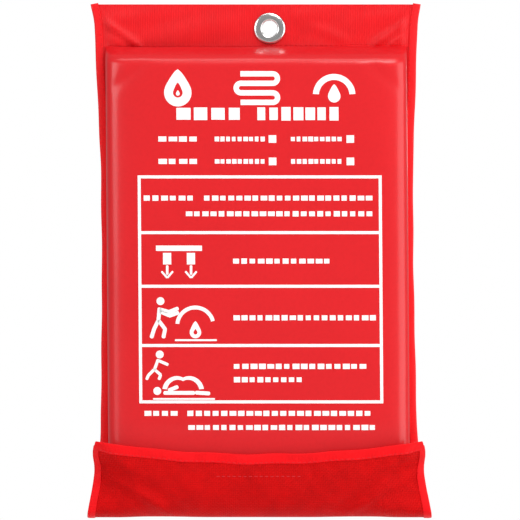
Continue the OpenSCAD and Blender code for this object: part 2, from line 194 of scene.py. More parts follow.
def ripple(x: Array, z: Array, wave_mm: float, seed: int) -> Array:
    """Soft unevenness of cloth: the mean of six sine waves in random directions, each about wave_mm long.

    Args:
        x: Places across, in millimetres.
        z: Places up, in millimetres.
        wave_mm: The wanted length of one wave.
        seed: Fixes the random draw.

    Returns:
        Heights between about -1 and 1.
    """
    draw = np.random.default_rng(seed)
    turns = draw.uniform(0, math.tau, 6)
    lengths = wave_mm * draw.uniform(0.7, 1.6, 6)
    shifts = draw.uniform(0, math.tau, 6)
    total = np.zeros(np.broadcast(x, z).shape)
    for turn, length, shift in zip(turns, lengths, shifts):
        total = total + np.sin(math.tau * (x * math.cos(turn) + z * math.sin(turn)) / length + shift)
    return total / 3.0


def pinch(x: Array, z: Array, start: tuple[float, float], end: tuple[float, float], width: float) -> Array:
    """Height of a crease: a bell curve across the line from start to end, faded towards both ends.

    Args:
        x: Places across.
        z: Places up.
        start: One end of the crease.
        end: The other end.
        width: Distance from the line at which the height has fallen to a third.

    Returns:
        Heights from 0 to 1.
    """
    run = np.array(end, float) - np.array(start, float)
    length = float(np.hypot(*run))
    along = ((x - start[0]) * run[0] + (z - start[1]) * run[1]) / length
    across = ((z - start[1]) * run[0] - (x - start[0]) * run[1]) / length
    fade = smooth(along / (0.35 * length) + 0.5) * smooth((length - along) / (0.35 * length) + 0.5)
    return np.exp(-((across / width) ** 2)) * fade


# --------------------------------------------------------------------------------------------------
# Meshes
# --------------------------------------------------------------------------------------------------


@dataclass
class Patch:
    """A grid of points, and the flat place of each on the cloth that it is cut from, in millimetres."""

    points: Array
    flat: Array

    @classmethod
    def of(cls, points: Array) -> "Patch":
        """Patch whose flat places are the mean distances along its rows and its columns.

        Args:
            points: Grid of points, rows by columns by 3.

        Returns:
            The patch.
        """
        down = np.linalg.norm(np.diff(points, axis=0), axis=-1).mean(axis=1)
        over = np.linalg.norm(np.diff(points, axis=1), axis=-1).mean(axis=0)
        rows = np.concatenate([[0.0], np.cumsum(down)])
        columns = np.concatenate([[0.0], np.cumsum(over)])
        flat = np.stack(np.meshgrid(columns, rows), axis=-1)
        return cls(points, flat)


def grid_quads(rows: int, columns: int) -> Array:
    """Corner numbers of the cells of a grid of points.

    Args:
        rows: Number of rows of points.
        columns: Number of columns of points.

    Returns:
        One row of four point numbers for each cell.
    """
    number = np.arange(rows * columns).reshape(rows, columns)
    corners = [number[:-1, :-1], number[:-1, 1:], number[1:, 1:], number[1:, :-1]]
    return np.stack(corners, axis=-1).reshape(-1, 4)


def join_patches(patches: Sequence[Patch]) -> tuple[Array, Array, Array]:
    """Joins patches and merges points that coincide.

    Args:
        patches: The patches.

    Returns:
        The points, the cells, and each cell corner's flat place.
    """
    points = np.concatenate([p.points.reshape(-1, 3) for p in patches])
    flats = np.concatenate([p.flat.reshape(-1, 2) for p in patches])
    starts = np.cumsum([0] + [p.points.shape[0] * p.points.shape[1] for p in patches[:-1]])
    quads = np.concatenate([grid_quads(*p.points.shape[:2]) + s for p, s in zip(patches, starts)])
    corner_flat = flats[quads]
    _, first, same = np.unique(np.round(points, 3), axis=0, return_index=True, return_inverse=True)
    return points[first], same.reshape(-1)[quads], corner_flat


def point_normals(points: Array, quads: Array) -> Array:
    """Unit normal at each point: the sum of its cells' diagonal cross products, made unit length.

    Args:
        points: The points.
        quads: Four point numbers for each cell.

    Returns:
        One unit vector for each point.
    """
    crosses = np.cross(points[quads[:, 2]] - points[quads[:, 0]], points[quads[:, 3]] - points[quads[:, 1]])
    normals = np.zeros_like(points)
    for corner in range(4):
        np.add.at(normals, quads[:, corner], crosses)
    return normals / np.maximum(np.linalg.norm(normals, axis=1, keepdims=True), 1e-12)


def thicken(points: Array, quads: Array, flats: Array, thickness: float) -> tuple[Array, Array, Array]:
    """Turns a single layer into a closed sheet: a copy to each side, half the thickness away, and edge walls.

    Args:
        points: The layer's points.
        quads: The layer's cells.
        flats: Each cell corner's flat place.
        thickness: The sheet's thickness in millimetres.

    Returns:
        The closed sheet's points, cells and flat places.
    """
    shift = point_normals(points, quads) * thickness / 2
    count = len(points)
    starts = quads.reshape(-1)
    ends = np.roll(quads, -1, axis=1).reshape(-1)
    corner = flats.reshape(-1, 2)
    next_corner = np.roll(flats, -1, axis=1).reshape(-1, 2)
    key = starts.astype(np.int64) * count + ends
    free = ~np.isin(key, ends.astype(np.int64) * count + starts)
    walls = np.stack([starts[free] + count, ends[free] + count, ends[free], starts[free]], axis=1)
    wall_flat = np.stack([corner[free], next_corner[free], next_corner[free], corner[free]], axis=1)
    all_points = np.concatenate([points + shift, points - shift])
    all_quads = np.concatenate([quads, quads[:, ::-1] + count, walls])
    return all_points, all_quads, np.concatenate([flats, flats[:, ::-1], wall_flat])


def turned_out(points: Array, quads: Array, flats: Array) -> tuple[Array, Array]:
    """Turns every cell over if the closed mesh's signed volume is negative, so that faces point outwards.

    Args:
        points: The points.
        quads: The cells.
        flats: Each cell corner's flat place.

    Returns:
        The cells and their flat places, turned if need be.
    """
    a, b, c, d = (points[quads[:, i]] for i in range(4))
    volume = (a * np.cross(b, c)).sum() + (a * np.cross(c, d)).sum()
    return (quads, flats) if volume > 0 else (quads[:, ::-1], flats[:, ::-1])


@dataclass
class Maker:
    """Puts finished pieces into the scene."""

    materials: dict[str, bpy.types.Material]

    def make(
        self,
        name: str,
        patches: Sequence[Patch],
        finish: "Finish",
        body: Body | None,
        stands_for: Sequence[str] = (),
        thickness: float = 0.0,
        crisp_deg: float = 50.0,
    ) -> bpy.types.Object:
        """Builds one piece from patches.

        Args:
            name: The piece's name.
            patches: Its surface; a closed form when thickness is 0.
            finish: What it is made of.
            body: The body that it rides on, or None for a piece that rides on no body.
            stands_for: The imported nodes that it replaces.
            thickness: Thickness of a sheet, in millimetres.
            crisp_deg: Edges sharper than this keep a hard line.

        Returns:
            The piece.
        """
        points, quads, flats = join_patches(patches)
        if thickness:
            points, quads, flats = thicken(points, quads, flats, thickness)
        else:
            quads, flats = turned_out(points, quads, flats)
        keep = quads != np.roll(quads, -1, axis=1)
        whole = keep.all(axis=1)
        three = keep.sum(axis=1) == 3
        faces = quads[whole].tolist() + quads[three][keep[three]].reshape(-1, 3).tolist()
        loops = np.concatenate([flats[whole].reshape(-1, 2), flats[three][keep[three]].reshape(-1, 2)])
        mesh = bpy.data.meshes.new(name)
        mesh.from_pydata((points * MM).tolist(), [], faces)
        mesh.uv_layers.new(name="flat").data.foreach_set("uv", loops.astype(np.float32).reshape(-1))
        mesh.shade_smooth()
        mesh.set_sharp_from_angle(angle=math.radians(crisp_deg))
        mesh.materials.append(self.material(finish))
        mesh.validate()
        piece = bpy.data.objects.new(name, mesh)
        bpy.context.scene.collection.objects.link(piece)
        if body is not None:
            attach(piece, body.value)
        if stands_for:
            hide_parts(*stands_for)
        LOG.info("%s: %d points, %d faces, %s", name, len(points), len(faces), finish.name)
        return piece

    def material(self, finish: "Finish") -> bpy.types.Material:
        """The material of a finish, made once.

        Args:
            finish: The finish.

        Returns:
            Its material.
        """
        if finish.name not in self.materials:
            self.materials[finish.name] = finish.material()
        return self.materials[finish.name]


def tape_section(width: float, rise: float, back: float) -> tuple[Array, Array]:
    """Cross-section of a tape folded over an edge: up the back, half round the edge, down the front.

    Args:
        width: Reach of the front leg.
        rise: Distance of each leg from the cloth's middle.
        back: Reach of the back leg.

    Returns:
        For each station, the reach into the cloth and the lift off its middle, with a slight crown in front.
    """
    turn = np.linspace(-math.pi / 2, math.pi / 2, 9)
    round_edge = -rise * np.cos(turn)[1:-1]
    reach = np.concatenate([np.linspace(back, 0.4, 4), round_edge, np.linspace(0.0, width, 7)])
    lift = np.concatenate([np.full(4, -rise), rise * np.sin(turn)[1:-1], np.full(7, rise)])
    return reach, lift + np.where(lift >= rise, 0.12 * np.sin(math.pi * np.clip(reach / width, 0, 1)), 0.0)


def folded_tape(edge: Array, inward: Array, out: Array, width: float, rise: float, back: float) -> Array:
    """Middle surface of a tape folded over a straight-lying edge.

    Args:
        edge: Points along the cloth's edge.
        inward: Unit vectors from the edge into the cloth.
        out: Unit vectors out of the cloth's front.
        width: Reach of the front leg.
        rise: Distance of each leg from the cloth's middle.
        back: Reach of the back leg.

    Returns:
        Grid of points, one row for each station round the tape.
    """
    reach, lift = tape_section(width, rise, back)
    return edge[None] + reach[:, None, None] * inward[None] + lift[:, None, None] * out[None]


def unit(vectors: Array) -> Array:
    """Vectors scaled to unit length."""
    return vectors / np.maximum(np.linalg.norm(vectors, axis=-1, keepdims=True), 1e-12)


def stitch_patches(centres: Array, along: Array, out: Array, length: float, width: float) -> list[Patch]:
    """Stitches: each a small closed capsule whose ends dip into the cloth.

    A point is the stitch's middle, plus the run along it, plus a circle round it whose radius follows a
    quarter-power ellipse towards the ends, lifted by half a sine wave so that the middle stands highest.

    Args:
        centres: Middle of each stitch, on the cloth's surface.
        along: Direction of each stitch.
        out: Direction out of the cloth at each stitch.
        length: Length of a stitch.
        width: Thickness of the thread.

    Returns:
        One patch for each stitch.
    """
    run = np.linspace(-1, 1, 6)
    turn = np.linspace(0, math.tau, 7)
    turn[-1] = 0.0
    radius = (width / 2) * (1 - run**4) ** 0.5
    across = unit(np.cross(along, out))
    lift = width * 0.28 * np.cos(run * math.pi / 2) - width * 0.12
    points = (
        centres[:, None, None, :]
        + (run * length / 2)[None, :, None, None] * along[:, None, None, :]
        + (radius[:, None] * np.cos(turn))[None, :, :, None] * across[:, None, None, :]
        + (lift[:, None] + radius[:, None] * np.sin(turn) * 0.8)[None, :, :, None] * out[:, None, None, :]
    )
    return [Patch.of(grid) for grid in points]


def run_of_stitches(path: Array, out: Array, pitch: float, length: float, width: float) -> list[Patch]:
    """Stitches at an even pitch along a path.

    Args:
        path: Points along the seam.
        out: Direction out of the cloth, one for all or one for each point.
        pitch: Distance from one stitch to the next.
        length: Length of a stitch.
        width: Thickness of the thread.

    Returns:
        One patch for each stitch.
    """
    out = np.broadcast_to(out, path.shape)
    steps = np.concatenate([[0.0], np.cumsum(np.linalg.norm(np.diff(path, axis=0), axis=1))])
    at = np.arange(pitch / 2, steps[-1], pitch)

    def along(values: Array, places: Array) -> Array:
        """Values read off at distances along the path."""
        return np.stack([np.interp(places, steps, values[:, i]) for i in range(3)], axis=1)

    heading = unit(along(path, at + 0.5) - along(path, at - 0.5))
    return stitch_patches(along(path, at), heading, unit(along(out, at)), length, width)


# --------------------------------------------------------------------------------------------------
# Finishes
# --------------------------------------------------------------------------------------------------


def linear(colour: str) -> tuple[float, float, float, float]:
    """Turns an sRGB hex colour into the linear values that shaders take.

    Args:
        colour: Six hex digits after a hash sign.

    Returns:
        Red, green, blue and alpha.
    """
    parts = [int(colour[i : i + 2], 16) / 255 for i in (1, 3, 5)]
    return tuple(c / 12.92 if c <= 0.04045 else ((c + 0.055) / 1.055) ** 2.4 for c in parts) + (1.0,)


def add(tree: bpy.types.NodeTree, kind: str, links: dict | None = None, **settings) -> bpy.types.Node:
    """Adds a node with its settings and links.

    Args:
        tree: The node tree.
        kind: The node's type.
        links: Input name or number to an output socket or a plain value.
        settings: Properties of the node.

    Returns:
        The node.
    """
    node = tree.nodes.new(kind)
    for key, value in settings.items():
        setattr(node, key, value)
    for key, value in (links or {}).items():
        if isinstance(value, bpy.types.NodeSocket):
            tree.links.new(value, node.inputs[key])
        else:
            node.inputs[key].default_value = value
    return node


# A wave texture's bands repeat every pi / 10 divided by its scale.
BAND = math.pi / 10


@dataclass(frozen=True)
class Finish:
    """What a piece is made of and how its surface was made. Lengths are in millimetres."""

    name: str
    slot: str
    colour: str
    # Darker colour, mixed in both by random mottling and by the painted shade in the surface pattern's low
    # places.
    shade: str
    weave: Weave
    spacing: float = 1.0
    relief: float = 0.1
    roughness: float = 0.7
    sheen: float = 0.0
    sheen_colour: str = "#FFFFFF"
    coat: float = 0.0
    coat_roughness: float = 0.3
    metallic: float = 0.0
    mottle: float = 0.2
    mottle_mm: float = 18.0
    gloss: float = 0.3
    # How far painted shade darkens the low places of the surface pattern, such as the gaps between threads.
    gap_shade: float = 0.35

    def material(self) -> bpy.types.Material:
        """Builds the procedural material.

        Returns:
            The material.
        """
        made = bpy.data.materials.new(self.name)
        made.use_nodes = True
        tree = made.node_tree
        tree.nodes.clear()
        flat = add(tree, "ShaderNodeTexCoord").outputs["UV"]
        space = add(tree, "ShaderNodeTexCoord").outputs["Object"]
        height = self.threads(tree, flat)
        cloud = add(
            tree, "ShaderNodeTexNoise",
            {"Vector": space, "Scale": 1 / (self.mottle_mm * MM), "Detail": 4.0, "Roughness": 0.6},
        ).outputs["Fac"]
        grain = add(
            tree, "ShaderNodeTexNoise", {"Vector": flat, "Scale": 2.2 / self.spacing, "Detail": 3.0},
        ).outputs["Fac"]
        patchy = add(
            tree, "ShaderNodeMapRange",
            {"Value": cloud, "From Min": 0.35, "From Max": 0.7, "To Min": 0.0, "To Max": self.mottle},
        ).outputs["Result"]
        # Painted shade: where the surface pattern is low, in the gaps between threads, the colour is darkened
        # towards the shade colour by up to gap_shade, standing in for the shade that falls there. On the
        # plain noise of bare and coated finishes the same step gives uneven darker patches.
        gaps = add(
            tree, "ShaderNodeMapRange",
            {"Value": height, "From Min": 0.0, "From Max": 0.55, "To Min": self.gap_shade, "To Max": 0.0},
        ).outputs["Result"]
        dark = add(tree, "ShaderNodeMath", {0: patchy, 1: gaps}, operation="ADD", use_clamp=True).outputs[0]
        tint = add(
            tree, "ShaderNodeMix", {0: dark, 6: linear(self.colour), 7: linear(self.shade)}, data_type="RGBA",
        ).outputs[2]
        rough = add(
            tree, "ShaderNodeMapRange",
            {"Value": grain, "To Min": max(self.roughness - 0.07, 0.02), "To Max": self.roughness + 0.07},
        ).outputs["Result"]
        fuzz = add(tree, "ShaderNodeMath", {0: grain, 1: 0.25}, operation="MULTIPLY").outputs[0]
        relief = add(tree, "ShaderNodeMath", {0: height, 1: fuzz}, operation="ADD").outputs[0]
        bump = add(
            tree, "ShaderNodeBump", {"Height": relief, "Strength": 1.0, "Distance": self.relief * MM},
        ).outputs["Normal"]
        shader = add(
            tree, "ShaderNodeBsdfPrincipled",
            {
                "Base Color": tint,
                "Roughness": rough,
                "Normal": bump,
                "Metallic": self.metallic,
                "Specular IOR Level": self.gloss,
                "Sheen Weight": self.sheen,
                "Sheen Roughness": 0.4,
                "Sheen Tint": linear(self.sheen_colour),
                "Coat Weight": self.coat,
                "Coat Roughness": self.coat_roughness,
            },
        )
        add(tree, "ShaderNodeOutputMaterial", {"Surface": shader.outputs[0]})
        return made

    def band(self, tree: bpy.types.NodeTree, flat: bpy.types.NodeSocket, axis: str, spacing: float,
             bend: float = 0.0) -> bpy.types.NodeSocket:
        """Rows of threads across one direction, as a sine wave over the flat place.

        Args:
            tree: The node tree.
            flat: The flat place on the cloth, in millimetres.
            axis: X, Y or DIAGONAL.
            spacing: Distance from one thread to the next, in millimetres.
            bend: How far the rows wander.

        Returns:
            The socket that carries the height.
        """
        return add(
            tree, "ShaderNodeTexWave",
            {"Vector": flat, "Scale": BAND / spacing, "Distortion": bend, "Detail": 1.0},
            wave_type="BANDS", bands_direction=axis, wave_profile="SIN",
        ).outputs["Fac"]

    def threads(self, tree: bpy.types.NodeTree, flat: bpy.types.NodeSocket) -> bpy.types.NodeSocket:
        """Height pattern of the weave, from 0 in the gaps to 1 on the threads.

        Args:
            tree: The node tree.
            flat: The flat place on the cloth, in millimetres.

        Returns:
            The socket that carries the height.
        """
        if self.weave is Weave.PLAIN:
            checks = add(
                tree, "ShaderNodeTexChecker",
                {"Vector": flat, "Scale": 1 / self.spacing, "Color1": (1, 1, 1, 1), "Color2": (0, 0, 0, 1)},
            ).outputs["Fac"]
            warp = self.band(tree, flat, "X", self.spacing)
            weft = self.band(tree, flat, "Y", self.spacing)
            return add(tree, "ShaderNodeMix", {"Factor": checks, "A": warp, "B": weft}).outputs[0]
        if self.weave is Weave.RIB:
            ribs = self.band(tree, flat, "X", self.spacing)
            picks = self.band(tree, flat, "Y", self.spacing * 0.6)
            return add(tree, "ShaderNodeMix", {"Factor": 0.2, "A": ribs, "B": picks}).outputs[0]
        if self.weave in (Weave.HERRINGBONE, Weave.TWIST):
            return self.band(tree, flat, "DIAGONAL", self.spacing, bend=0.3)
        if self.weave is Weave.PILE:
            return add(
                tree, "ShaderNodeTexVoronoi", {"Vector": flat, "Scale": 1 / self.spacing},
            ).outputs["Distance"]
        detail = 2.0 if self.weave is Weave.COATED else 4.0
        return add(
            tree, "ShaderNodeTexNoise", {"Vector": flat, "Scale": 1 / self.spacing, "Detail": detail},
        ).outputs["Fac"]


# Polyester cloth with a smooth vinyl coating: an even, wet-looking red that mirrors pale light at the sides.
COATED_CLOTH = Finish(
    "vinyl_coated_polyester", "coated_sheet", "#E0171F", "#CC1219", Weave.COATED,
    spacing=2.4, relief=0.05, roughness=0.4, coat=0.6, coat_roughness=0.2, mottle=0.2, mottle_mm=45,
    gloss=0.25,
)
# Plain-woven polyester with heavy warp ribs; real ribs are about 0.5 mm, drawn at 1.1 mm so that they show.
RIBBED_CLOTH = Finish(
    "ribbed_woven_polyester", "ribbed_header", "#EE0C17", "#C80810", Weave.RIB,
    spacing=1.1, relief=0.12, roughness=0.42, sheen=0.05, sheen_colour="#FF8088", mottle=0.25, mottle_mm=14,
    gloss=0.3,
)
# Plain-woven polyester without a coating: matt and darker, with threads of about 0.5 mm drawn at 1.2 mm.
FLAP_CLOTH = Finish(
    "woven_polyester_flap", "flap_cloth", "#E00305", "#A40305", Weave.PLAIN,
    spacing=1.2, relief=0.2, roughness=0.6, mottle=0.3, mottle_mm=12, gloss=0.1,
)
# The same woven polyester on the back, seen from its uncoated side.
BACK_CLOTH = Finish(
    "woven_polyester_back", "woven_back", "#C2101A", "#8C0910", Weave.PLAIN,
    spacing=1.25, relief=0.2, roughness=0.78, sheen=0.12, sheen_colour="#FF6068", mottle=0.25, mottle_mm=20,
)
# Fine, tightly woven ribbed polyester tape, slightly shiny, coloured brighter than the cloth.
BINDING_TAPE = Finish(
    "ribbed_polyester_tape", "binding_tape", "#FA0D18", "#D20912", Weave.RIB,
    spacing=0.9, relief=0.1, roughness=0.45, sheen=0.05, sheen_colour="#FF8088", mottle=0.15, mottle_mm=9,
)
# The same tape round the flap.
FLAP_TAPE = Finish(
    "ribbed_polyester_flap_tape", "flap_binding", "#FC0B16", "#D0080F", Weave.RIB,
    spacing=0.9, relief=0.1, roughness=0.48, mottle=0.2, mottle_mm=9, gloss=0.15,
)
# Twisted polyester sewing thread in the tape's red, which reads as a fine broken line along each seam.
RED_THREAD = Finish(
    "polyester_thread_red", "red_thread", "#E80D18", "#B80911", Weave.TWIST,
    spacing=0.35, relief=0.015, roughness=0.5, sheen=0.1, mottle=0.0, gap_shade=0.15,
)
# The thread of the hook tape's seam, dyed close to the flap.
FLAP_THREAD = Finish(
    "polyester_thread_flap", "white_thread", "#D8222A", "#A0080E", Weave.TWIST,
    spacing=0.35, relief=0.05, roughness=0.5, sheen=0.2, mottle=0.0,
)
# Screen-printed vinyl ink: opaque white with a soft gloss and a few thin places.
PRINT_INK = Finish(
    "screen_print_ink", "white_ink", "#FFFFFF", "#F6DADA", Weave.BARE,
    spacing=0.9, relief=0.02, roughness=0.42, mottle=0.12, mottle_mm=6,
)
# Nickel-plated brass, pressed and polished.
NICKEL = Finish(
    "nickel_plated_brass", "nickel_plate", "#EDEBEA", "#D2D0D0", Weave.BARE,
    spacing=3.0, relief=0.01, roughness=0.2, metallic=1.0, mottle=0.2, mottle_mm=5,
)
# Nylon loop pile, soft and matt.
LOOP_PILE = Finish(
    "nylon_loop_pile", "loop_pile", "#A80C14", "#6E060B", Weave.PILE,
    spacing=0.9, relief=0.5, roughness=0.9, sheen=0.4, sheen_colour="#FF8088", mottle=0.2, mottle_mm=5,
)
# Nylon hooks on a woven ground, stiffer and shinier than the loops.
HOOK_PILE = Finish(
    "nylon_hook_tape", "hook_pile", "#980A12", "#5C0509", Weave.PILE,
    spacing=1.3, relief=0.6, roughness=0.45, mottle=0.1, mottle_mm=5,
)
# Glass-fibre cloth: plain weave, off-white, with a faint silky gloss; threads of 0.5 mm drawn at 1.2 mm.
GLASS_CLOTH = Finish(
    "woven_glass_fibre", "glass_cloth", "#EFEDE6", "#C9C5B8", Weave.PLAIN,
    spacing=1.2, relief=0.15, roughness=0.5, sheen=0.25, mottle=0.15, mottle_mm=25,
)
# Woven tape sewn over the blanket's cut edge.
HEM_TAPE = Finish(
    "glass_edge_tape", "hem_tape", "#E2DED2", "#B8B2A2", Weave.RIB,
    spacing=1.0, relief=0.12, roughness=0.6, sheen=0.2, mottle=0.15, mottle_mm=9,
)
# Herringbone cotton webbing.
TAB_WEBBING = Finish(
    "cotton_webbing", "tab_webbing", "#F1ECDF", "#C4BCA8", Weave.HERRINGBONE,
    spacing=1.4, relief=0.3, roughness=0.85, sheen=0.3, mottle=0.2, mottle_mm=7,
)


# --------------------------------------------------------------------------------------------------
# The pouch
# --------------------------------------------------------------------------------------------------


@dataclass(frozen=True)
class Cloth:
    """Thicknesses of the pouch's layers in millimetres."""

    back: float = 0.6
    skin: float = 0.7
    tape: float = 0.35
    seam_depth: float = 1.5
    edge_inset: float = 1.2


@dataclass(frozen=True)
class Outline:
    """Side edges of the hanging pouch: half widths at a few heights, joined smoothly."""

    heights: tuple[float, ...] = (-309.0, -287.0, -256.0, -208.0, -150.0, -84.0, -46.0, -14.0, 7.0, 16.0)
    halves: tuple[float, ...] = (106.5, 103.0, 100.0, 99.3, 98.5, 98.8, 100.4, 101.6, 102.4, 104.8)

    def half(self, z: Array) -> Array:
        """Half width at a height, by straight runs whose corners a three-point mean softens.

        Args:
            z: Height.

        Returns:
            The half width in millimetres.
        """
        spread = 4.0
        runs = [np.interp(np.asarray(z) + s, self.heights, self.halves) for s in (-spread, 0.0, spread)]
        return (runs[0] + runs[1] + runs[2]) / 3


OUTLINE = Outline()
CLOTH = Cloth()


@dataclass(frozen=True)
class Bulge:
    """The front panel's form: a flat-fronted bulge over the folded blanket."""

    power: float = 7.6
    shoulder: float = 13.0
    shoulder_power: float = 2.3
    hem_rise: float = 15.0
    hem_flat_half: float = 70.0

    def depth(self, x: Array, z: Array) -> Array:
        """Distance of the panel's middle surface in front of the wall.

        Across, it is a superellipse: (1 - |x / half| ^ power) ^ (1 / power). Below the header seam it
        grows as 1 - (1 - t) ^ shoulder_power, steep at first and then level. Soft ripples and a slight
        draw-in above the flap are added, and all fade to nothing at the seams.

        Args:
            x: Distance from the pouch's middle line.
            z: Height.

        Returns:
            The depth in millimetres.
        """
        base = CLOTH.seam_depth
        full = SIZES.front_depth - CLOTH.skin / 2 - base
        across = np.clip(1 - np.abs(x / SIZES.bulge_half) ** self.power, 0, 1) ** (1 / self.power)
        t = np.clip((SIZES.seam_z - z) / self.shoulder, 0, 1)
        down = 1 - (1 - t) ** self.shoulder_power
        waves = 0.22 * ripple(x, z, 95.0, 3) + 0.10 * ripple(x, z, 38.0, 4)
        tucks = 0.5 * pinch(np.abs(x), z, (70.0, -22.0), (92.0, -40.0), 3.2)
        draw_in = 0.9 * smooth((-246.0 - z) / 16.0)
        drop = (0.25 + waves + tucks) * smooth((across - 0.55) / 0.4) * smooth(t * 1.2 - 0.2)
        return base + full * across * down - drop - draw_in * across

    def hem_z(self, x: Array) -> Array:
        """Height of the mouth's edge, which rises as a parabola towards the side seams."""
        over = np.clip((np.abs(x) - self.hem_flat_half) / (SIZES.bulge_half - self.hem_flat_half), 0, None)
        return SIZES.mouth_z + self.hem_rise * over**2


BULGE = Bulge()


def spread_across(middle: int, corner: int) -> Array:
    """Places across the bulge: evenly over the flat front, and by angle round each side, where it turns.

    Args:
        middle: Number of places over the flat front.
        corner: Number of places round each side.

    Returns:
        The places, from left to right.
    """
    turn = np.linspace(0.0, math.pi / 4, corner)
    side = SIZES.bulge_half * np.cos(turn) ** (2 / BULGE.power)
    flat = np.linspace(side[-1], -side[-1], middle)[1:-1]
    return np.concatenate([side, flat, -side[::-1]])[::-1]


@dataclass
class Pouch:
    """The hanging pouch: panels, header, bindings, hem, loop tape and seams."""

    maker: Maker
    collar: float = 14.0
    hole_share: float = 0.56
    tape_width: float = 3.8
    tape_back: float = 3.6
    tape_rise: float = 0.96
    tape_stitch_inset: float = 4.0
    hem_gap_half: float = 30.0
    stitch_pitch: float = 3.2
    stitch_length: float = 2.7
    stitch_width: float = 0.55
    corner_creases: tuple = (
        (2.0, (98.0, 5.5), (74.0, -11.0), 2.0),
        (1.3, (99.0, -2.0), (84.0, -11.0), 1.6),
        (1.0, (100.0, 13.0), (91.0, -1.0), 1.5),
    )

    def build(self) -> None:
        """Builds every piece of the pouch."""
        self.front()
        self.header()
        self.back()
        for side, name in ((-1, "left"), (1, "right")):
            self.side_binding(side, name)
        self.mouth_hem()
        self.loop_tape()
        self.seams()

    def front(self) -> None:
        """Front panel: the bulge, with a flat allowance outside each side seam."""
        across = spread_across(92, 16)
        fold = np.linspace(0, 1, 40) ** 1.4
        shoulder = SIZES.seam_z - BULGE.shoulder * fold[:26]
        rows = np.concatenate([shoulder, np.linspace(shoulder[-1], SIZES.mouth_z, 120)[1:]])
        share = (SIZES.seam_z - rows) / (SIZES.seam_z - SIZES.mouth_z)
        z = SIZES.seam_z + (BULGE.hem_z(across)[None, :] - SIZES.seam_z) * share[:, None]
        z = z + self.seam_wave(across)[None, :] * (1 - share[:, None]) ** 6
        x = np.broadcast_to(across, z.shape)
        middle = Patch.of(place(x, BULGE.depth(x, z), z))
        sides = []
        for side in (-1, 1):
            edge = z[:, 0] if side < 0 else z[:, -1]
            reach = np.linspace(0, 1, 4)
            outer = OUTLINE.half(edge) - CLOTH.edge_inset
            strip_x = side * (SIZES.bulge_half + (outer - SIZES.bulge_half)[:, None] * reach[None, :])
            strip_z = np.broadcast_to(edge[:, None], strip_x.shape)
            strip = place(strip_x, CLOTH.seam_depth, strip_z)
            sides.append(Patch.of(strip if side > 0 else strip[:, ::-1]))
        piece = self.maker.make(
            "front_panel_cloth", [middle, *sides], COATED_CLOTH, Body.POUCH, ("front_panel",), CLOTH.skin, 70,
        )

    @staticmethod
    def seam_wave(x: Array) -> Array:
        """Slight wander of the header seam: higher at the right, lowest in the middle."""
        return 0.6 * np.sin(math.pi * x / 190.0) - 0.9 * np.cos(math.pi * x / 200.0) + 0.25 * np.sin(x / 9.0)

    def header_depth(self, x: Array, z: Array) -> Array:
        """Depth of the header: flat round the eyelet, with diagonal creases in the top corners.

        Args:
            x: Distance from the pouch's middle line.
            z: Height.

        Returns:
            Distance in front of the wall.
        """
        wide = np.abs(x)
        creases = 0.7 * pinch(x, z, (34.0, 2.0), (58.0, -8.0), 3.0)
        for height, start, end, width in self.corner_creases:
            creases = creases + height * pinch(wide, z, start, end, width)
        near = smooth((np.hypot(x + SIZES.centre_x, z) - 11.0) / 12.0)
        swell = (0.55 * ripple(x, z * 2.0, 42.0, 8) + 0.6) * near * smooth((SIZES.top_z - z) / 9.0)
        edge = smooth((OUTLINE.half(z) - wide - 4.5) / 6.0)
        return CLOTH.seam_depth + (creases + np.clip(swell, 0, None)) * edge

    def header(self) -> None:
        """Header: a ring of cloth round the eyelet's hole, and a plain strip to each side of it."""
        low = SIZES.seam_z - 1.0
        patches = self.holed_strip(low, self.header_depth, 60, 15)
        piece = self.maker.make(
            "header_cloth", patches, RIBBED_CLOTH, Body.POUCH, ("header_facing",), CLOTH.skin, 70,
        )

    def holed_strip(self, low: float, depth: Callable, columns: int, rows: int) -> list[Patch]:
        """Cloth from a height up to the top edge, with a round hole for the eyelet.

        The middle patch runs outward from the hole: each ray goes from the hole's circle to the square
        round it, in even steps. The side patches are plain grids that share its edge points.

        Args:
            low: Height of the lower edge.
            depth: Function of x and z that gives the depth.
            columns: Columns in each side patch.
            rows: Rows, which the ray patch shares on its sides.

        Returns:
            The patches.
        """
        hole_x = -SIZES.centre_x
        half = self.collar
        top = SIZES.top_z
        heights = np.linspace(low, top, rows)
        widths = np.linspace(-half, half, rows)
        rim = np.concatenate([
            np.stack([widths, np.full(rows, low)], 1)[:-1],
            np.stack([np.full(rows, half), heights], 1)[:-1],
            np.stack([widths[::-1], np.full(rows, top)], 1)[:-1],
            np.stack([np.full(rows, -half), heights[::-1]], 1),
        ])
        angle = np.arctan2(rim[:, 1], rim[:, 0])
        hole = SIZES.eyelet_r * self.hole_share * np.stack([np.cos(angle), np.sin(angle)], 1)
        share = np.linspace(0, 1, 9)[:, None, None]
        ring = hole[None] * (1 - share) + rim[None] * share
        shift = lean(ring[..., 1])
        ring_x = ring[..., 0] + hole_x - shift
        points = place(ring_x, depth(ring_x, ring[..., 1]), ring[..., 1])
        patches = [Patch(points[::-1], ring[::-1])]
        for side in (-1, 1):
            start = hole_x + side * half - lean(heights)
            reach = np.linspace(0, 1, columns)[None, :]
            end = side * (OUTLINE.half(heights) - CLOTH.edge_inset)
            x = start[:, None] + (end - start)[:, None] * reach
            z = np.broadcast_to(heights[:, None], x.shape)
            grid = place(x, depth(x, z), z)
            flat = np.stack([x - hole_x, z], axis=-1)
            order = slice(None) if side > 0 else slice(None, None, -1)
            patches.append(Patch(grid[:, order], flat[:, order]))
        return patches

    def back(self) -> None:
        """Back panel: flat against the wall, with the eyelet's hole, down to the bottom fold."""
        middle = 0.4 + CLOTH.back / 2

        def depth(x: Array, z: Array) -> Array:
            """Even depth with a faint ripple, never behind the wall."""
            return middle + 0.12 * (1 + ripple(x, z, 60.0, 12))

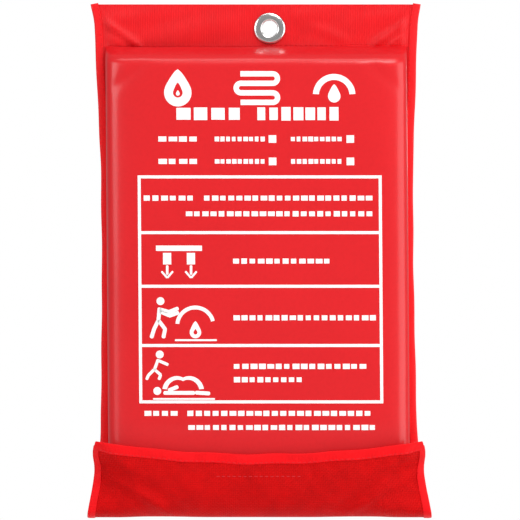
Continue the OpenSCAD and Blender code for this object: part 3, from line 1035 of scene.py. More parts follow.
        upper = SIZES.seam_z - 6.0
        patches = self.holed_strip(upper, depth, 20, 15)
        z_rows = np.linspace(SIZES.fold[2] + 1.0, upper, 90)
        hole_x = -SIZES.centre_x
        widths = np.linspace(-self.collar, self.collar, 15)
        top_half = OUTLINE.half(upper) - CLOTH.edge_inset
        left = hole_x - self.collar - lean(upper)
        right = hole_x + self.collar - lean(upper)
        top_x = np.concatenate([
            np.linspace(-top_half, left, 20)[:-1],
            widths + hole_x - lean(upper),
            np.linspace(right, top_half, 20)[1:],
        ])
        share = top_x / top_half
        x = share[None, :] * (OUTLINE.half(z_rows) - CLOTH.edge_inset)[:, None]
        z = np.broadcast_to(z_rows[:, None], x.shape)
        patches.append(Patch(place(x, depth(x, z), z), np.stack([x - hole_x, z], axis=-1)))
        piece = self.maker.make(
            "back_panel_cloth", patches, BACK_CLOTH, Body.POUCH, ("back_panel",), CLOTH.back, 70,
        )

    def side_binding(self, side: int, name: str) -> None:
        """Tape folded over one side seam, from the top edge to the bottom fold.

        Args:
            side: -1 for the left and 1 for the right.
            name: The side's name.
        """
        z = np.linspace(SIZES.top_z + 0.2, SIZES.fold[2] + 2.5, 150)
        half = OUTLINE.half(z) + 0.15 * np.sin(z / 7.0 + side)
        edge = place(side * (half - 0.9), 1.18, z)
        run = unit(np.gradient(edge, axis=0))
        out = np.broadcast_to(FRONT, edge.shape)
        inward = unit(np.cross(out, run))
        inward = inward * np.sign(-side * inward[:, :1])
        grid = folded_tape(edge, inward, out, self.tape_width, self.tape_rise, self.tape_back)
        self.maker.make(
            f"{name}_side_tape", [Patch.of(grid)], BINDING_TAPE, Body.POUCH,
            (f"{name}_side_binding",), CLOTH.tape, 80,
        )

    def mouth_hem(self) -> None:
        """Turned hem inside the mouth: a strip that follows the panel's lower edge."""
        across = spread_across(60, 10)[6:-6]
        rise = np.linspace(0, 1, 7)
        z = BULGE.hem_z(across)[None, :] + 0.4 + 6.5 * rise[:, None]
        x = np.broadcast_to(across, z.shape)
        depth = BULGE.depth(x, z) - CLOTH.skin - 0.1 + 0.15 * np.sin(math.pi * rise)[:, None]
        self.maker.make(
            "mouth_hem_fold", [Patch.of(place(x * 0.992, depth, z))], COATED_CLOTH, Body.POUCH,
            ("mouth_hem",), 0.5,
        )

    def loop_tape(self) -> None:
        """Loop tape sewn on the front panel behind the flap."""
        low, high = box_mm("loop_tape")
        x = np.linspace(low[0], high[0], 56) - SIZES.centre_x
        z = np.linspace(low[2], high[2], 15)
        gx, gz = np.meshgrid(x, z)
        rng = np.random.default_rng(21)
        pile = 0.12 * rng.uniform(-1, 1, gx.shape)
        depth = BULGE.depth(gx, gz) + CLOTH.skin / 2 + 0.36 + pile
        self.maker.make(
            "loop_tape_pile", [Patch.of(place(gx, depth, gz))], LOOP_PILE, Body.POUCH, ("loop_tape",), 0.7,
        )

    def sew(self, name: str, paths: Sequence[Array], stands_for: str, width: float | None = None) -> None:
        """Lays rows of red stitches along paths, facing straight out of the pouch.

        Args:
            name: The piece's name.
            paths: Each row's points, on the cloth's surface.
            stands_for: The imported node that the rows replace.
            width: Thickness of the thread, or None for the usual one.
        """
        size = (self.stitch_pitch, self.stitch_length, width or self.stitch_width)
        rows = [stitch for path in paths for stitch in run_of_stitches(path, FRONT, *size)]
        self.maker.make(name, rows, RED_THREAD, Body.POUCH, (stands_for,))

    def seams(self) -> None:
        """Rows of stitches: header seam, both side seams, the hem and the loop tape."""
        face = CLOTH.skin / 2
        x = np.linspace(-94.0, 94.0, 240)
        z = SIZES.seam_z + 0.9 + self.seam_wave(x)
        self.sew("header_seam_thread", [place(x, self.header_depth(x, z) + face, z)], "header_stitching")
        z = np.linspace(SIZES.top_z - 1.5, SIZES.fold[2] + 4, 400)
        reach = OUTLINE.half(z) - self.tape_stitch_inset
        self.sew("side_seam_thread", [place(side * reach, 2.32, z) for side in (-1, 1)], "side_stitching")
        x = np.linspace(-86.0, 86.0, 240)
        z = BULGE.hem_z(x) + 5.6
        paths = []
        for part in (x < -self.hem_gap_half, x > self.hem_gap_half):
            paths.append(place(x[part], BULGE.depth(x[part], z[part]) + face, z[part]))
        self.sew("hem_thread", paths, "hem_stitching")
        low, high = box_mm("loop_tape")
        x = np.linspace(low[0] + 1, high[0] - 1, 80) - SIZES.centre_x
        paths = []
        for z_row in (low[2] + 1.3, high[2] - 1.3):
            paths.append(place(x, BULGE.depth(x, z_row) + face + 0.72, np.full_like(x, z_row)))
        self.sew("loop_tape_thread", paths, "loop_tape_stitching", 0.5)


# --------------------------------------------------------------------------------------------------
# The flap
# --------------------------------------------------------------------------------------------------


@dataclass
class Flap:
    """The bottom flap: one cloth that bends at the front crease, its binding, hook tape and seams."""

    maker: Maker
    thickness: float = 0.8
    roll_r: float = 1.5
    top_side_z: float = -261.5
    sag: float = 8.0
    nominal_half: float = 104.0
    middle_depth: float = 31.0
    join_z: float = -281.0
    join_run: float = 0.68
    triangle_toe: tuple[float, float] = (56.0, -310.0)
    triangle_top: tuple[float, float] = (110.0, -272.0)
    corner_depths: tuple[float, float] = (26.5, 21.0)
    corner_tilt: float = 0.18
    cut_slope: float = 1.3
    cut_soft: float = 1.8
    fold_lift: float = 0.9
    fold_drop: float = 1.15
    belly_inset: float = 2.0
    belly_drop: float = 3.5
    corner_folds: tuple = (
        (1.7, (101.0, -279.0), (54.0, -308.0), 2.6),
        (-1.5, (94.0, -275.0), (47.0, -303.0), 3.4),
    )
    top_tape_size: tuple[float, float, float] = (5.6, 0.62, 5.0)
    side_tape_size: tuple[float, float, float] = (4.2, 0.62, 3.8)
    tape_stitch_inset: float = 4.8
    stitch_pitch: float = 3.4

    def build(self) -> None:
        """Builds every piece of the flap."""
        self.cloth()
        self.roll()
        self.top_tape()
        self.side_tapes()
        self.hook_tape()
        self.seams()

    def side_half(self, z: Array) -> Array:
        """Half width of the flap at a height: pinched halfway up and spread along the bottom fold.

        Args:
            z: Height.

        Returns:
            The half width in millimetres.
        """
        heights = (-309.0, -300.0, -290.0, -279.0, -267.0, -260.0)
        halves = (108.3, 106.6, 104.6, 103.0, 104.6, 102.2)
        runs = [np.interp(np.asarray(z) + s, heights, halves) for s in (-3.0, 0.0, 3.0)]
        return (runs[0] + runs[1] + runs[2]) / 3

    def top_z(self, share: Array) -> Array:
        """Height of the top edge: a shallow parabola with a slight waver."""
        return self.top_side_z - self.sag * (1 - share**2) + 0.35 * np.sin(share * 17.0) * (1 - share**2)

    def surface(self, share: Array, run: Array) -> Array:
        """The flap's middle surface.

        Each column is a quadratic curve from the bottom fold, low and full, up to the join, then a line
        up to the top edge. In each lower corner that form is cut back to a flat triangle: the depth is
        the soft minimum of the full form and of a surface that leans back below the triangle's upper edge
        and comes forward steeply above it. A faint pinched ridge follows that edge.

        Args:
            share: Place across, from -1 at the left edge to 1 at the right edge.
            run: Place up the flap, from 0 at the fold to 1 at the top edge.

        Returns:
            Points in millimetres.
        """
        share, run = np.broadcast_arrays(share, run)
        wide = np.abs(share) * self.nominal_half
        fold_depth = -SIZES.fold[1] + self.fold_lift
        fold_z = SIZES.fold[2] - self.fold_drop
        low = np.clip(run / self.join_run, 0, 1)
        high = np.clip((run - self.join_run) / (1 - self.join_run), 0, 1)
        belly_depth = self.middle_depth - self.belly_inset
        belly_lift = 2.0 * smooth((wide - 30.0) / 30.0) - 2.5 * smooth((wide - 66.0) / 20.0)
        belly_z = fold_z - self.belly_drop + belly_lift
        depth = quadratic(low, fold_depth, belly_depth, self.middle_depth) + 0.5 * high
        z = quadratic(low, fold_z, belly_z, self.join_z) + (self.top_z(share) - self.join_z) * high
        depth = self.cut_back(depth, wide, z)
        x = share * self.side_half(z)
        ridge = sum(
            height * pinch(np.abs(x), z, start, end, width) for height, start, end, width in self.corner_folds
        )
        soft = 0.42 * ripple(x, z, 30.0, 15) + 0.22 * ripple(x, z, 13.0, 16)
        free = smooth(run / 0.2) * smooth((1 - run) / 0.12 + 0.25)
        return place(x, depth + (ridge + soft) * free, z)

    def cut_back(self, depth: Array, wide: Array, z: Array) -> Array:
        """Cuts the full form back to the flat triangle in each lower corner.

        Args:
            depth: Depth of the full form.
            wide: Distance from the middle line.
            z: Height.

        Returns:
            The depth after the cut.
        """
        toe_x, toe_z = self.triangle_toe
        run = np.subtract(self.triangle_top, self.triangle_toe)
        above = ((z - toe_z) * run[0] - (wide - toe_x) * run[1]) / np.hypot(*run)
        inner, outer = self.corner_depths
        flat = inner + (outer - inner) * smooth((wide - 70.0) / 36.0) - self.corner_tilt * (z - toe_z)
        rise = self.cut_slope * self.cut_soft * np.logaddexp(0.0, above / self.cut_soft)
        return -self.cut_soft * np.logaddexp(-depth / self.cut_soft, -(flat + rise) / self.cut_soft)

    def outward(self, share: Array, run: Array) -> Array:
        """Unit vectors out of the flap's front, from small steps over its surface.

        Args:
            share: Places across.
            run: Places up the flap.

        Returns:
            One unit vector for each place.
        """
        step = 0.004
        over = self.surface(share + step, run) - self.surface(share - step, run)
        higher = self.surface(share, np.clip(run + step, 0, 1))
        up = higher - self.surface(share, np.clip(run - step, 0, 1))
        return unit(np.cross(over, up))

    def blend(self, piece: bpy.types.Object) -> None:
        """Bakes a piece's placement into its mesh; the piece rides on no body.

        Args:
            piece: The finished piece.
        """
        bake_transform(piece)

    def cloth(self) -> None:
        """The flap's cloth."""
        share = np.linspace(-1, 1, 170)[None, :]
        run = np.linspace(0, 1, 64)[:, None]
        piece = self.maker.make(
            "flap_cloth", [Patch.of(self.surface(share, run))], FLAP_CLOTH, None,
            ("flap_web", "flap_panel", "flap_crease"), self.thickness, 70,
        )
        self.blend(piece)

    def roll(self) -> None:
        """Rolled cloth along the bottom fold, round on the hinge line."""
        turn = np.linspace(0, math.tau, 17)
        turn[-1] = 0.0
        reach = 106.9
        x = np.linspace(-reach, reach, 90)
        radius = self.roll_r * np.clip((reach + 0.001 - np.abs(x)) / 0.8, 0, 1) ** 0.5
        gx = np.broadcast_to(x[:, None], (90, 17))
        depth = -SIZES.fold[1] + radius[:, None] * np.cos(turn)[None, :]
        z = SIZES.fold[2] + radius[:, None] * np.sin(turn)[None, :]
        points = place(gx, depth, z)
        points[..., 0] = gx + SIZES.centre_x + lean(SIZES.fold[2])
        self.maker.make("bottom_fold_roll", [Patch.of(points)], FLAP_CLOTH, Body.FLAP_LOWER, ("bottom_fold",))

    def top_tape(self) -> None:
        """Binding folded over the flap's top edge, with both legs lying along the cloth."""
        share = np.linspace(-1, 1, 150)
        reach, lift = tape_section(*self.top_tape_size)
        run = 1 - np.clip(reach, 0, None)[:, None] * self.run_per_mm(share)[None, :]
        edge = self.surface(share, np.ones_like(share))
        inward = unit(self.surface(share, np.full_like(share, 0.96)) - edge)
        out = self.outward(share[None, :], np.minimum(run, 0.97))
        grid = self.surface(share[None, :], run) + lift[:, None, None] * out
        grid = grid + np.clip(reach, None, 0)[:, None, None] * inward[None]
        self.maker.make(
            "flap_top_tape", [Patch.of(grid)], FLAP_TAPE, Body.FLAP_UPPER,
            ("flap_top_binding",), CLOTH.tape, 80,
        )

    def run_per_mm(self, share: Array) -> Array:
        """Change of run for one millimetre down from the top edge, at each place across.

        Args:
            share: Places across.

        Returns:
            The change for each place.
        """
        edge = self.surface(share, np.ones_like(share))
        below = self.surface(share, np.full_like(share, 0.88))
        return 0.12 / np.linalg.norm(edge - below, axis=-1)

    def side_tapes(self) -> None:
        """Bindings folded over the flap's two side edges, from the fold to the top tape."""
        for side, name in ((-1, "left"), (1, "right")):
            run = np.linspace(0.03, 0.965, 70)
            edge = self.surface(np.full_like(run, float(side)), run)
            inner = self.surface(np.full_like(run, side * 0.95), run)
            out = self.outward(np.full_like(run, side * 0.97), run)
            grid = folded_tape(edge, unit(inner - edge), out, *self.side_tape_size)
            piece = self.maker.make(
                f"flap_{name}_tape", [Patch.of(grid)], FLAP_TAPE, None,
                (f"flap_{name}_binding", f"web_{name}_binding"), CLOTH.tape, 80,
            )
            self.blend(piece)

    def hook_tape(self) -> None:
        """Hook tape sewn inside the flap, opposite the loop tape."""
        low, high = box_mm("hook_tape")
        x = np.linspace(low[0], high[0], 50) - SIZES.centre_x
        z = np.linspace(low[2] + 0.5, high[2], 14)
        gx, gz = np.meshgrid(x, z)
        rng = np.random.default_rng(22)
        depth = self.middle_depth - 0.76 + 0.08 * rng.uniform(-1, 1, gx.shape)
        self.maker.make(
            "hook_tape_strip", [Patch.of(place(gx, depth, gz))], HOOK_PILE, Body.FLAP_UPPER,
            ("hook_tape",), 0.6,
        )

    def seams(self) -> None:
        """Red stitches along the top tape and the white seam that holds the hook tape."""
        share = np.linspace(-0.965, 0.965, 300)
        run = 1 - self.tape_stitch_inset * self.run_per_mm(share)
        out = self.outward(share, run)
        path = self.surface(share, run) + 0.84 * out
        self.maker.make(
            "flap_tape_thread",
            run_of_stitches(path, out, self.stitch_pitch, 2.7, 0.6),
            RED_THREAD,
            Body.FLAP_UPPER,
            ("flap_stitching",),
        )
        low, high = box_mm("hook_tape_stitching")
        across = np.linspace(low[0], high[0], 60) - SIZES.centre_x
        share = across / self.nominal_half
        run = np.full_like(share, 0.66)
        out = self.outward(share, run)
        path = self.surface(share, run) + (self.thickness / 2) * out
        self.maker.make(
            "hook_tape_thread",
            run_of_stitches(path, out, self.stitch_pitch, 2.6, 0.5),
            FLAP_THREAD,
            Body.FLAP_UPPER,
            ("hook_tape_stitching",),
        )


# --------------------------------------------------------------------------------------------------
# Eyelet
# --------------------------------------------------------------------------------------------------


@dataclass
class Eyelet:
    """Two-part metal eyelet: a turned ring with a rolled rim, and a washer behind."""

    maker: Maker
    hole_r: float = 5.0
    crest: float = 3.7
    seat: float = 1.95
    lip: float = 0.25
    wall: float = 0.8
    steps: int = 96

    def turned(self, radius: Array, depth: Array) -> Patch:
        """Surface turned about the hole's axis from a closed profile of radius and depth.

        Args:
            radius: Distances from the axis.
            depth: Distances in front of the wall.

        Returns:
            The patch.
        """
        turn = np.linspace(0, math.tau, self.steps + 1)
        turn[-1] = 0.0
        x = radius[:, None] * np.cos(turn)[None, :]
        z = radius[:, None] * np.sin(turn)[None, :]
        y = np.broadcast_to(-depth[:, None], x.shape)
        return Patch.of(np.stack([x, y, z], axis=-1))

    def build(self) -> None:
        """Builds the ring and the washer."""
        flange = SIZES.eyelet_r
        seat = self.seat
        sweep = np.linspace(0.0, 1.0, 22)
        dome_r = self.hole_r + (flange - self.hole_r) * (1 - np.cos(math.pi * sweep)) / 2
        rim = seat + self.lip
        dome_d = rim + (self.crest - seat - self.lip) * np.sin(math.pi * sweep**0.8) ** 0.7
        barrel = self.hole_r + self.wall
        radius = np.concatenate([[self.hole_r], dome_r, [flange - 0.1, barrel, barrel, self.hole_r]])
        depth = np.concatenate([[0.02], dome_d, [seat, seat, 0.02, 0.02]])
        self.maker.make("eyelet_ring", [self.turned(radius, depth)], NICKEL, Body.POUCH, ("eyelet",), 0.0, 60)
        round_edge = np.linspace(-math.pi / 2, math.pi / 2, 7)
        outer = flange - self.wall
        washer_r = np.concatenate([[barrel], outer + 0.25 * np.cos(round_edge), [barrel] * 2])
        washer_d = np.concatenate([[0.05], 0.3 + 0.25 * np.sin(round_edge), [0.55, 0.05]])
        washer = [self.turned(washer_r, washer_d)]
        self.maker.make("eyelet_back_washer", washer, NICKEL, Body.POUCH, ("eyelet_washer",), 0.0, 60)


# --------------------------------------------------------------------------------------------------
# Print
# --------------------------------------------------------------------------------------------------


@dataclass
class Print:
    """White print on the front panel: plain marks and blocks in place of words and drawings."""

    maker: Maker
    film: float = 0.12
    lift: float = 0.08
    step: float = 2.5
    row_height: float = 3.4
    row_pitch: float = 5.2
    size_rows: tuple[float, ...] = (-70.5, -84.6)
    tick_x: tuple[float, ...] = (7.5, 56.5)
    tick_side: float = 4.8

    def lay(self, x: Array, z: Array) -> Patch:
        """Lays a grid of flat places on the bulged front panel."""
        return Patch(place(x, BULGE.depth(x, z) + CLOTH.skin / 2 + self.lift, z), np.stack([x, z], axis=-1))

    def bar(self, x0: float, z0: float, x1: float, z1: float) -> Patch:
        """A filled rectangle between two corners.

        Args:
            x0: Left side.
            z0: Lower side.
            x1: Right side.
            z1: Upper side.

        Returns:
            The patch.
        """
        x = np.linspace(x0, x1, max(2, int(abs(x1 - x0) / self.step) + 2))
        z = np.linspace(z0, z1, max(2, int(abs(z1 - z0) / self.step) + 2))
        return self.lay(*np.meshgrid(x, z))

    def stroke(self, points: Sequence[tuple[float, float]], width: float, cap: float = 0.45) -> Patch:
        """A line of even width with round ends, along straight runs between points.

        Args:
            points: Corners of the line.
            width: The line's width.
            cap: Length of each round end, as a share of the width.

        Returns:
            The patch.
        """
        corners = np.array(points, float)
        steps = np.concatenate([[0.0], np.cumsum(np.linalg.norm(np.diff(corners, axis=0), axis=1))])
        end = steps[-1]
        near = np.linspace(0, cap * width, 5)
        at = np.unique(np.concatenate([near, np.linspace(0, end, max(3, int(end / 0.8))), end - near]))
        line = np.stack([np.interp(at, steps, corners[:, i]) for i in range(2)], axis=1)
        along = unit(np.gradient(line, axis=0))
        side = np.stack([along[:, 1], -along[:, 0]], axis=1)
        inset = np.clip(np.minimum(at, end - at) / (cap * width), 0, 1)
        half = width / 2 * (0.35 + 0.65 * np.sqrt(1 - (1 - inset) ** 2))
        over = np.linspace(1, -1, 4)
        grid = line[None] + (over[:, None] * half[None])[..., None] * side[None]
        return self.lay(grid[..., 0], grid[..., 1])

    def ring(self, centre: tuple[float, float], inner: Callable, outer: Callable, start: float = 0.0,
             end: float = math.tau) -> Patch:
        """A band between two outlines given as radius against angle.

        Args:
            centre: Middle of both outlines.
            inner: Inner outline.
            outer: Outer outline.
            start: Angle at which the band starts.
            end: Angle at which it ends.

        Returns:
            The patch.
        """
        turn = np.linspace(start, end, 61)
        if abs(end - start - math.tau) < 1e-9:
            turn[-1] = start
        share = np.linspace(0, 1, 5)[:, None]
        radius = outer(turn)[None] * (1 - share) + inner(turn)[None] * share
        return self.lay(centre[0] + radius * np.cos(turn), centre[1] + radius * np.sin(turn))

    def blob(self, centre: tuple[float, float], outer: Callable, n: int = 13) -> Patch:
        """A filled outline: a square grid drawn into a disc, then scaled by radius against angle.

        Args:
            centre: Middle of the outline.
            outer: The outline.
            n: Points along each side of the grid.

        Returns:
            The patch.
        """
        u, v = np.meshgrid(np.linspace(-1, 1, n), np.linspace(-1, 1, n))
        x = u * np.sqrt(1 - v**2 / 2)
        z = v * np.sqrt(1 - u**2 / 2)
        radius = outer(np.arctan2(z, x))
        return self.lay(centre[0] + radius * x, centre[1] + radius * z)

    def blocks(
        self, x0: float, z: float, width: float, height: float, pitch: float, seed: int,
    ) -> list[Patch]:
        """A row of small blocks with uneven widths and gaps that stands for a line of print.

        Args:
            x0: Left end.
            z: Height of the row's middle.
            width: Length of the row.
            height: Height of the tallest block.
            pitch: Distance from one block to the next.
            seed: Fixes the random draw.

        Returns:
            One patch for each block.
        """
        draw = np.random.default_rng(seed)
        count = max(1, round(width / pitch))
        cell = width / count
        made = []
        for i in range(count):
            fill = draw.uniform(0.62, 0.84)
            tall = height * draw.uniform(0.86, 1.0)
            left = x0 + i * cell
            made.append(self.bar(left, z - tall / 2, left + cell * fill, z + tall / 2))
        return made

    @staticmethod
    def drop(size: float, tip: float) -> Callable:
        """Outline of a flame: a circle drawn up into a point, as radius against angle.

        Args:
            size: Radius of the circle.
            tip: How far the point stands up, as a share of the radius.

        Returns:
            Function of angle that gives the radius.
        """

        def radius(turn: Array) -> Array:
            """Circle radius plus a narrow peak about straight up."""
            away = np.abs((turn - math.pi / 2 + math.pi) % math.tau - math.pi)
            return size * (1 + tip * np.exp(-((away / 0.42) ** 1.3)))

        return radius

    @staticmethod
    def circle(size: float) -> Callable:
        """Outline of a circle, as radius against angle."""
        return lambda turn: size + 0 * turn

    @staticmethod
    def oval(tall: float, extra: float) -> Callable:
        """Outline of a rounded oblong, wider by extra at each side, as radius against angle."""
        return lambda turn: tall + extra * np.abs(np.cos(turn))

    def build(self) -> None:
        """Builds the title marks, the frame, the rows and the drawings."""
        self.title()
        self.frame_lines()
        self.rows()
        self.drawings()

    def ink(self, name: str, patches: Sequence[Patch], stands_for: str) -> None:
        """Makes one layer of ink from its patches."""
        self.maker.make(name, patches, PRINT_INK, Body.POUCH, (stands_for,), self.film, 30)

    def title(self) -> None:
        """Three bold marks: a flame, a folded blanket, and a blanket held over a flame."""
        z = -38.4
        flame = [self.ring((-49.5, z - 3.0), self.drop(3.0, 1.15), self.drop(8.6, 0.72))]
        flame.append(self.blob((-49.5, z - 3.6), self.drop(1.2, 0.9)))
        fold = []
        for i in range(4):
            level = z + 9.0 - 6.0 * i
            fold.append(self.bar(-10.0, level - 1.7, 10.6, level + 1.7))
        for i, side in enumerate((1, -1, 1)):
            level = z + 6.0 - 6.0 * i
            turn = (-math.pi / 2, math.pi / 2) if side > 0 else (math.pi / 2, 1.5 * math.pi)
            end_x = 10.3 if side > 0 else -9.7
            fold.append(self.ring((end_x, level), self.circle(1.3), self.circle(4.7), *turn))
        over = [
            self.ring((49.0, z - 4.5), self.circle(9.6), self.circle(13.4), 0.06, math.pi - 0.06),
            self.blob((49.0, z - 5.2), self.drop(3.9, 0.95)),
        ]
        words = self.blocks(-50.5, -54.6, 44.0, 8.6, 10.6, 31) + self.blocks(0.5, -54.6, 53.0, 8.6, 7.6, 32)
        self.ink("title_marks", [*flame, *fold, *over, *words], "printed_title")

    def frame_lines(self) -> None:
        """The frame with its four cells."""
        left, right, top, low, line = -75.2, 78.5, -93.4, -237.0, 1.9
        bars = [
            self.bar(left, low, left + line, top),
            self.bar(right - line, low, right, top),
        ]
        for z in (top, -128.5, -162.3, -199.6, low + line):
            bars.append(self.bar(left + line, z - line, right - line, z))
        self.ink("instruction_frame", bars, "printed_frame")

    def rows(self) -> None:
        """Rows of blocks for the sizes, the instructions and the footer, with plain tick squares."""
        small = self.row_height
        made: list[Patch] = []
        for row, z in enumerate(self.size_rows):
            made += self.blocks(-62.0, z, 26.0, small, 5.9, 40 + row)
            made += self.blocks(-26.5, z, 32.5, small * 0.9, 3.6, 50 + row)
            made += self.blocks(21.5, z, 33.0, small * 0.9, 3.6, 60 + row)
            for x in self.tick_x:
                made.append(self.bar(x, z - self.tick_side / 2, x + self.tick_side, z + self.tick_side / 2))
        lines = (
            (-71.5, -107.7, 33.0), (-33.5, -107.7, 107.0), (-45.0, -117.6, 119.0), (-15.5, -147.4, 62.5),
            (-15.5, -183.1, 91.0), (-15.5, -213.7, 84.5), (-15.5, -222.1, 44.5), (-72.0, -243.3, 22.0),
            (-45.0, -243.3, 117.0), (-44.5, -252.2, 119.5),
        )
        for number, (x, z, width) in enumerate(lines):
            made += self.blocks(x, z, width, small, self.row_pitch, 70 + number)
        self.ink("instruction_rows", made, "printed_text")

    def figure(
        self, x: float, z: float, lines: Sequence[Sequence[tuple[float, float]]], head: tuple[float, float],
        weight: float,
    ) -> list[Patch]:
        """A plain round-headed figure drawn with strokes, its points counted from its feet.

        Args:
            x: Place of the feet across.
            z: Height of the feet.
            lines: Points of each stroke.
            head: Middle of the head.
            weight: Width of the strokes.

        Returns:
            The patches.
        """
        made = [self.blob((x + head[0], z + head[1]), self.circle(2.5))]
        for line in lines:
            made.append(self.stroke([(x + a, z + b) for a, b in line], weight))
        return made

    def drawings(self) -> None:
        """Three plain drawings: pull the tabs down, cover the flame, wrap the person."""
        made = [self.bar(-64.0, -141.0, -35.0, -137.6)]
        for x in (-57.0, -42.0):
            made.append(self.bar(x - 2.6, -149.5, x + 2.6, -142.2))
            made.append(self.stroke([(x, -150.0), (x, -156.0)], 1.6))
            made.append(self.stroke([(x - 3.6, -153.8), (x, -158.0)], 1.3))
            made.append(self.stroke([(x + 3.6, -153.8), (x, -158.0)], 1.3))
        body = ((0.0, 20.0), (-0.8, 11.5))
        legs = (((-0.8, 12.0), (3.4, 6.4), (2.2, 0.6)), ((-0.8, 12.0), (-3.6, 6.2), (-5.4, 0.6)))
        arms = (((0.0, 18.8), (6.0, 17.2), (12.0, 19.6)), ((0.0, 17.6), (6.5, 14.8), (12.2, 17.0)))
        made += self.figure(-62.0, -196.6, (body, *legs, *arms), (0.6, 24.0), 2.4)
        made += [
            self.ring((-39.5, -188.0), self.circle(10.2), self.circle(12.6), 0.25, math.pi - 0.1),
            self.ring((-39.5, -192.4), self.drop(1.2, 0.9), self.drop(3.6, 1.0)),
            self.stroke([(-52.5, -197.2), (-26.0, -197.2)], 1.2),
        ]
        lying = (((0.0, 1.2), (20.0, 1.2)), ((20.0, 1.4), (29.5, 0.8)), ((3.0, 2.6), (9.5, 5.2)))
        made += self.figure(-60.0, -231.6, lying, (-3.8, 2.4), 2.4)
        made += [
            self.ring((-47.5, -229.4), self.oval(6.4, 3.8), self.oval(8.6, 4.6), 0.12, math.pi - 0.12),
            self.stroke([(-66.5, -234.2), (-27.5, -234.2)], 1.1),
        ]
        helper = (
            ((0.0, 13.5), (-2.6, 6.6)),
            ((-2.6, 7.0), (1.4, 3.6), (0.2, 0.4)),
            ((-2.6, 7.0), (-6.4, 3.2), (-7.6, 0.4)),
        )
        reach = (((0.0, 12.6), (6.4, 9.8)),)
        made += self.figure(-63.0, -222.6, (*helper, *reach), (0.9, 16.4), 1.9)
        self.ink("instruction_drawings", made, "printed_pictograms")


# --------------------------------------------------------------------------------------------------
# The blanket and its pull tabs
# --------------------------------------------------------------------------------------------------


@dataclass(frozen=True)
class FoldPlan:
    """Straight runs and bend radii of the folded sheet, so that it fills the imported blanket's box."""

    low: Array
    high: Array
    inner: float
    stack: float
    radius: float
    straight_u: float
    straight_v: float

    @classmethod
    def read(cls, layers: int, panels: int, gap: float) -> "FoldPlan":
        """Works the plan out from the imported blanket.

        Args:
            layers: Layers made by the first fold.
            panels: Panels made by the second fold.
            gap: Distance from one layer to the next.

        Returns:
            The plan.
        """
        low, high = box_mm("blanket_pack")
        width, deep, height = high - low
        radius = (deep - 0.8) / (2 * panels)
        stack = gap * layers
        return cls(low, high, gap / 2, stack, radius, width - 2 * radius - stack, height - gap - 1.2)

    @property
    def span_u(self) -> float:
        """Length of one panel with its bend."""
        return self.straight_u + math.pi * self.radius

    @property
    def span_v(self) -> float:
        """Length of one layer with its bend."""
        return self.straight_v + math.pi * self.inner


